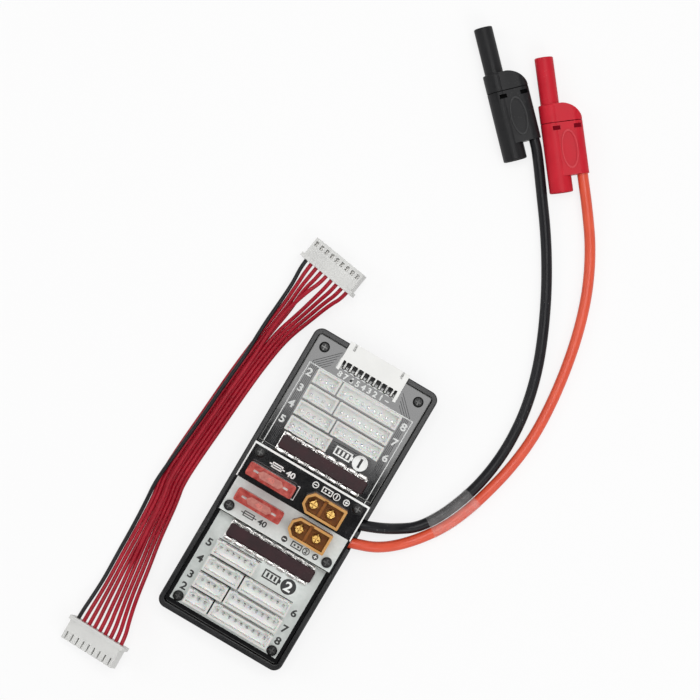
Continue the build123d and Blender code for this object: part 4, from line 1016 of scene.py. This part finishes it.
def plug_ridge_highlight(colour):
    """Painted highlight on the ridge round a plug's thumb oval: a thin band of paler plastic along its crest.
    """
    x, y, wide, long = PLUG_OVAL
    bm = bmesh.new()
    ring(bm, 0, 0, 1.0, RIDGE_SHARE, ROUND_SIDES)
    place(bm, bm.verts, (wide, long, 1), (x, y, 0))
    thicken(bm, PLUG_OVAL_TOP - RIDGE_HEIGHT / 2, RIDGE_HEIGHT)
    settle_on_plug(bm, colour, f"plug_{colour}_ridge", RIDGE_HIGHLIGHTS[colour])


def plug_marks():
    for colour in ("black", "red"):
        plug_seam_painted_shade(colour)
        plug_ridge_highlight(colour)


def inlet_teeth():
    """The pointed lips of the inlet's housing above its pins."""
    wide, deep, tall = TOOTH
    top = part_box("balance_inlet_housing")[1].z / MM - TOOTH_DROP
    bm = bmesh.new()
    for way in range(INLET_WAYS):
        tooth = bmesh.ops.create_cone(bm, cap_ends=True, segments=4, radius1=1.0, radius2=1.0,
                                      depth=tall)["verts"]
        place(bm, tooth, (wide, deep, 1), (way_x(way), INLET_BACK + TOOTH_OUT, top - tall / 2))
    soften(bm, bm.edges[:], TOOTH_EDGE)
    settle(bm, "inlet_teeth", OWN_FINISHES["balance_inlet_housing"])


def fuse_tops():
    """The frosted pad on top of each fuse, and painted highlight on its raised rating and along its rim."""
    for name in ("fuse_a", "fuse_b"):
        low, high = box_mm(f"{name}_body")
        middle = (low + high) / 2
        bm = bmesh.new()
        pad = bmesh.ops.create_circle(bm, cap_ends=True, segments=6, radius=FUSE_PAD_HALF)["verts"]
        bmesh.ops.rotate(bm, cent=(0, 0, 0), matrix=Matrix.Rotation(math.radians(30), 3, "Z"), verts=pad)
        for corner in pad:
            if abs(corner.co.y) > 0.1:
                corner.co.x = math.copysign(1, corner.co.x) * (FUSE_PAD_HALF - FUSE_PAD_SIDE)
                corner.co.y = math.copysign(FUSE_PAD_SIDE, corner.co.y)
        bmesh.ops.translate(bm, vec=(middle.x, middle.y, 0), verts=pad)
        thicken(bm, high.z - FUSE_PAD_DROP, INK)
        settle(bm, f"{name}_pad", FROSTED, name)
        # painted highlight: the rim and the rating in paler red
        bm = bmesh.new()
        frame_line(bm, low.x + FUSE_RIM_X, low.y + FUSE_RIM_Y, high.x - FUSE_RIM_X, high.y - FUSE_RIM_Y,
                   FUSE_RIM)
        figure(bm, "40", middle.x, middle.y, FUSE_DIGIT)
        thicken(bm, high.z - FUSE_RATING_DROP, INK * 2)
        settle(bm, f"{name}_rating", FUSE_HIGHLIGHT_RED, name)


# ================================================================ cords

def cable(name, points, radius, mat, slot, body, **facts):
    """A cord as one smooth NURBS line through its route."""
    curve = bpy.data.curves.new(name, "CURVE")
    curve.dimensions = "3D"
    curve.bevel_depth = radius * MM
    curve.bevel_resolution = 6
    curve.resolution_u = 10
    curve.use_fill_caps = True
    spline = curve.splines.new("NURBS")
    spline.points.add(len(points) - 1)
    for knot, (x, y, z) in zip(spline.points, points):
        knot.co = (x * MM, y * MM, z * MM, 1.0)
    spline.order_u = 3
    spline.use_endpoint_u = True
    piece = add_object(f"{name}_line", curve)
    curve.materials.append(mat)
    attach(piece, body)
    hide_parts(name)
    return piece


def plug_point(colour, y):
    """A point on the cable's axis inside a plug, in mm."""
    (px, py), turn = PLUG_PLACES[colour]
    spot = Matrix.Rotation(math.radians(turn), 3, "Z") @ Vector((PLUG_CABLE_X, y, 0))
    return (px + spot.x, py + spot.y, PLUG_BARREL)


def power_cables():
    for colour, route in (("black", BLACK_CABLE), ("red", RED_CABLE)):
        near, far = PLUG_CABLE_Y
        points = route + [plug_point(colour, near), plug_point(colour, far)]
        pieces = [NODES[f"plug_{colour}_{part}"] for part in ("body", "cap", "sheath", "contact")]
        cable(f"wire_{colour}", points, POWER_CABLE, FINISHES[f"silicone_{colour}"], f"silicone_{colour}",
              "charger", length=0.200, far_end="plug", stiffness="limp", lay="loose", with_pieces=pieces)


def housing_spot(spec, x, y):
    """A point in a lead housing's own frame, across and along it, in mm."""
    (px, py), turn, roll = spec
    lean = math.radians(roll)
    height = LEAD_HALF_WIDTH * abs(math.sin(lean)) + LEAD_HALF_THICKNESS * abs(math.cos(lean))
    turned = Matrix.Rotation(math.radians(turn), 3, "Z") @ Matrix.Rotation(lean, 3, "Y")
    return Vector((px, py, height)) + turned @ Vector((x, y, 0))


def lead_wires():
    """The nine wires of the loose balance lead, from crimp to crimp."""
    pieces = [NODES[name] for name in ("lead_upper_housing", "lead_lower_housing", "lead_contacts")]
    half = len(LEAD_STATIONS) / 2
    for way, places in enumerate(LEAD_PLACES):
        x = way_x(way)
        start, first = [housing_spot(UPPER_HOUSING, x, y) for y in (LEAD_CRIMP, -LEAD_STRAIGHT)]
        end, last = [housing_spot(LOWER_HOUSING, x, y) for y in (LEAD_CRIMP, -LEAD_STRAIGHT)]
        layers = LEAD_LAYERS.get(way, FLAT_LAYERS)
        points = [tuple(start), tuple(first)]
        for index, y in enumerate(LEAD_STATIONS):
            raised = first.z if index < half else last.z
            packed = LEAD_PACKING[index]
            z = LEAD_WIRE + LEAD_LIFT[index] * (raised - LEAD_WIRE) + layers[index] * LEAD_TOP_LAYER
            if way in LEAD_LIFTED:
                z += LEAD_WAVE * packed
            middle = (LEAD_PLACES[1][index] + LEAD_PLACES[-1][index]) / 2
            points.append((places[index] + (middle - places[index]) * LEAD_PACK_SHARE * packed, y, z))
        points += [tuple(last), tuple(end)]
        colour = "red" if way else "black"
        name = f"lead_wire_red_{way}" if way else "lead_wire_black"
        cable(name, points, LEAD_WIRE, FINISHES[f"lead_{colour}"], f"lead_{colour}", "balance_lead",
              length=0.163, far_end="connector", stiffness="limp", lay="loose", with_pieces=pieces)


# ================================================================ set

def camera():
    data = bpy.data.cameras.new("camera")
    data.sensor_width = SENSOR
    data.lens = LENS
    data.clip_end = 20.0
    view = add_object("camera", data)
    view.location = CAMERA_PLACE
    view.rotation_euler = (0, 0, math.radians(CAMERA_TURN))
    bpy.context.scene.camera = view


def softbox(name, spot, size, power):
    data = bpy.data.lights.new(name, "AREA")
    data.shape = "RECTANGLE"
    data.size, data.size_y = size
    data.energy = power
    lamp = add_object(name, data)
    lamp.location = spot
    lamp.rotation_euler = (Vector(SOFTBOX_AIM) - Vector(spot)).to_track_quat("-Z", "Y").to_euler()


def seen_directly(tree):
    """1 for rays that show the backdrop itself: from the camera, a mirror or clear plastic."""
    path = tree.nodes.new("ShaderNodeLightPath")
    total = None
    for socket in ("Is Camera Ray", "Is Glossy Ray", "Is Transmission Ray"):
        if total is None:
            total = path.outputs[socket]
            continue
        either = node(tree, "ShaderNodeMath", operation="MAXIMUM")
        tree.links.new(total, either.inputs[0])
        tree.links.new(path.outputs[socket], either.inputs[1])
        total = either.outputs["Value"]
    return total


def studio():
    """Soft boxes over the inlet end and both sides; mirrors see white walls under a darker ceiling."""
    world = bpy.data.worlds.new("studio")
    bpy.context.scene.world = world
    world.use_nodes = True
    tree = world.node_tree
    tree.nodes.clear()
    room = node(tree, "ShaderNodeBackground", {"Color": (1.0, 1.0, 1.0, 1.0), "Strength": ROOM_LIGHT})
    white = node(tree, "ShaderNodeBackground", {"Color": (1.0, 1.0, 1.0, 1.0)})
    way = tree.nodes.new("ShaderNodeTexCoord")
    ceiling = node(tree, "ShaderNodeMapRange", CEILING)
    tree.links.new(upward(tree, way.outputs["Generated"]), ceiling.inputs["Value"])
    tree.links.new(ceiling.outputs["Result"], white.inputs["Strength"])
    choose = tree.nodes.new("ShaderNodeMixShader")
    out = tree.nodes.new("ShaderNodeOutputWorld")
    tree.links.new(seen_directly(tree), choose.inputs["Fac"])
    tree.links.new(room.outputs["Background"], choose.inputs[1])
    tree.links.new(white.outputs["Background"], choose.inputs[2])
    tree.links.new(choose.outputs["Shader"], out.inputs["Surface"])
    for name, spot, size, power in SOFTBOXES:
        softbox(name, spot, size, power)


def floor():
    bm = bmesh.new()
    bmesh.ops.create_grid(bm, x_segments=2, y_segments=2, size=3.0)
    mesh = bpy.data.meshes.new("floor")
    bm.to_mesh(mesh)
    bm.free()
    piece = add_object("floor", mesh)
    mat = bpy.data.materials.new("floor_paper")
    mat.use_nodes = True
    tree = mat.node_tree
    tree.nodes.clear()
    paper = node(tree, "ShaderNodeBsdfDiffuse", {"Color": (FLOOR_GREY, FLOOR_GREY, FLOOR_GREY, 1.0)})
    glow = node(tree, "ShaderNodeEmission", {"Color": (1.0, 1.0, 1.0, 1.0), "Strength": 1.0})
    share = node(tree, "ShaderNodeMath", {1: FLOOR_GLOW}, operation="MULTIPLY")
    choose = tree.nodes.new("ShaderNodeMixShader")
    out = tree.nodes.new("ShaderNodeOutputMaterial")
    tree.links.new(seen_directly(tree), share.inputs[0])
    tree.links.new(share.outputs["Value"], choose.inputs["Fac"])
    tree.links.new(paper.outputs["BSDF"], choose.inputs[1])
    tree.links.new(glow.outputs["Emission"], choose.inputs[2])
    tree.links.new(choose.outputs["Shader"], out.inputs["Surface"])
    mesh.materials.append(mat)


camera()
power_cables()
lead_wires()
studio()
floor()
dress_nodes()
bank_a_print()
bank_b_print()
bank_numbers()
power_print()
copper_traces()
via_and_painted_shade()
painted_board_edge_highlight()
chip_solder()
pin_solder()
inlet_teeth()
screw_cross_highlights()
plug_marks()
fuse_tops()

bpy.context.scene.view_settings.view_transform = "Standard"
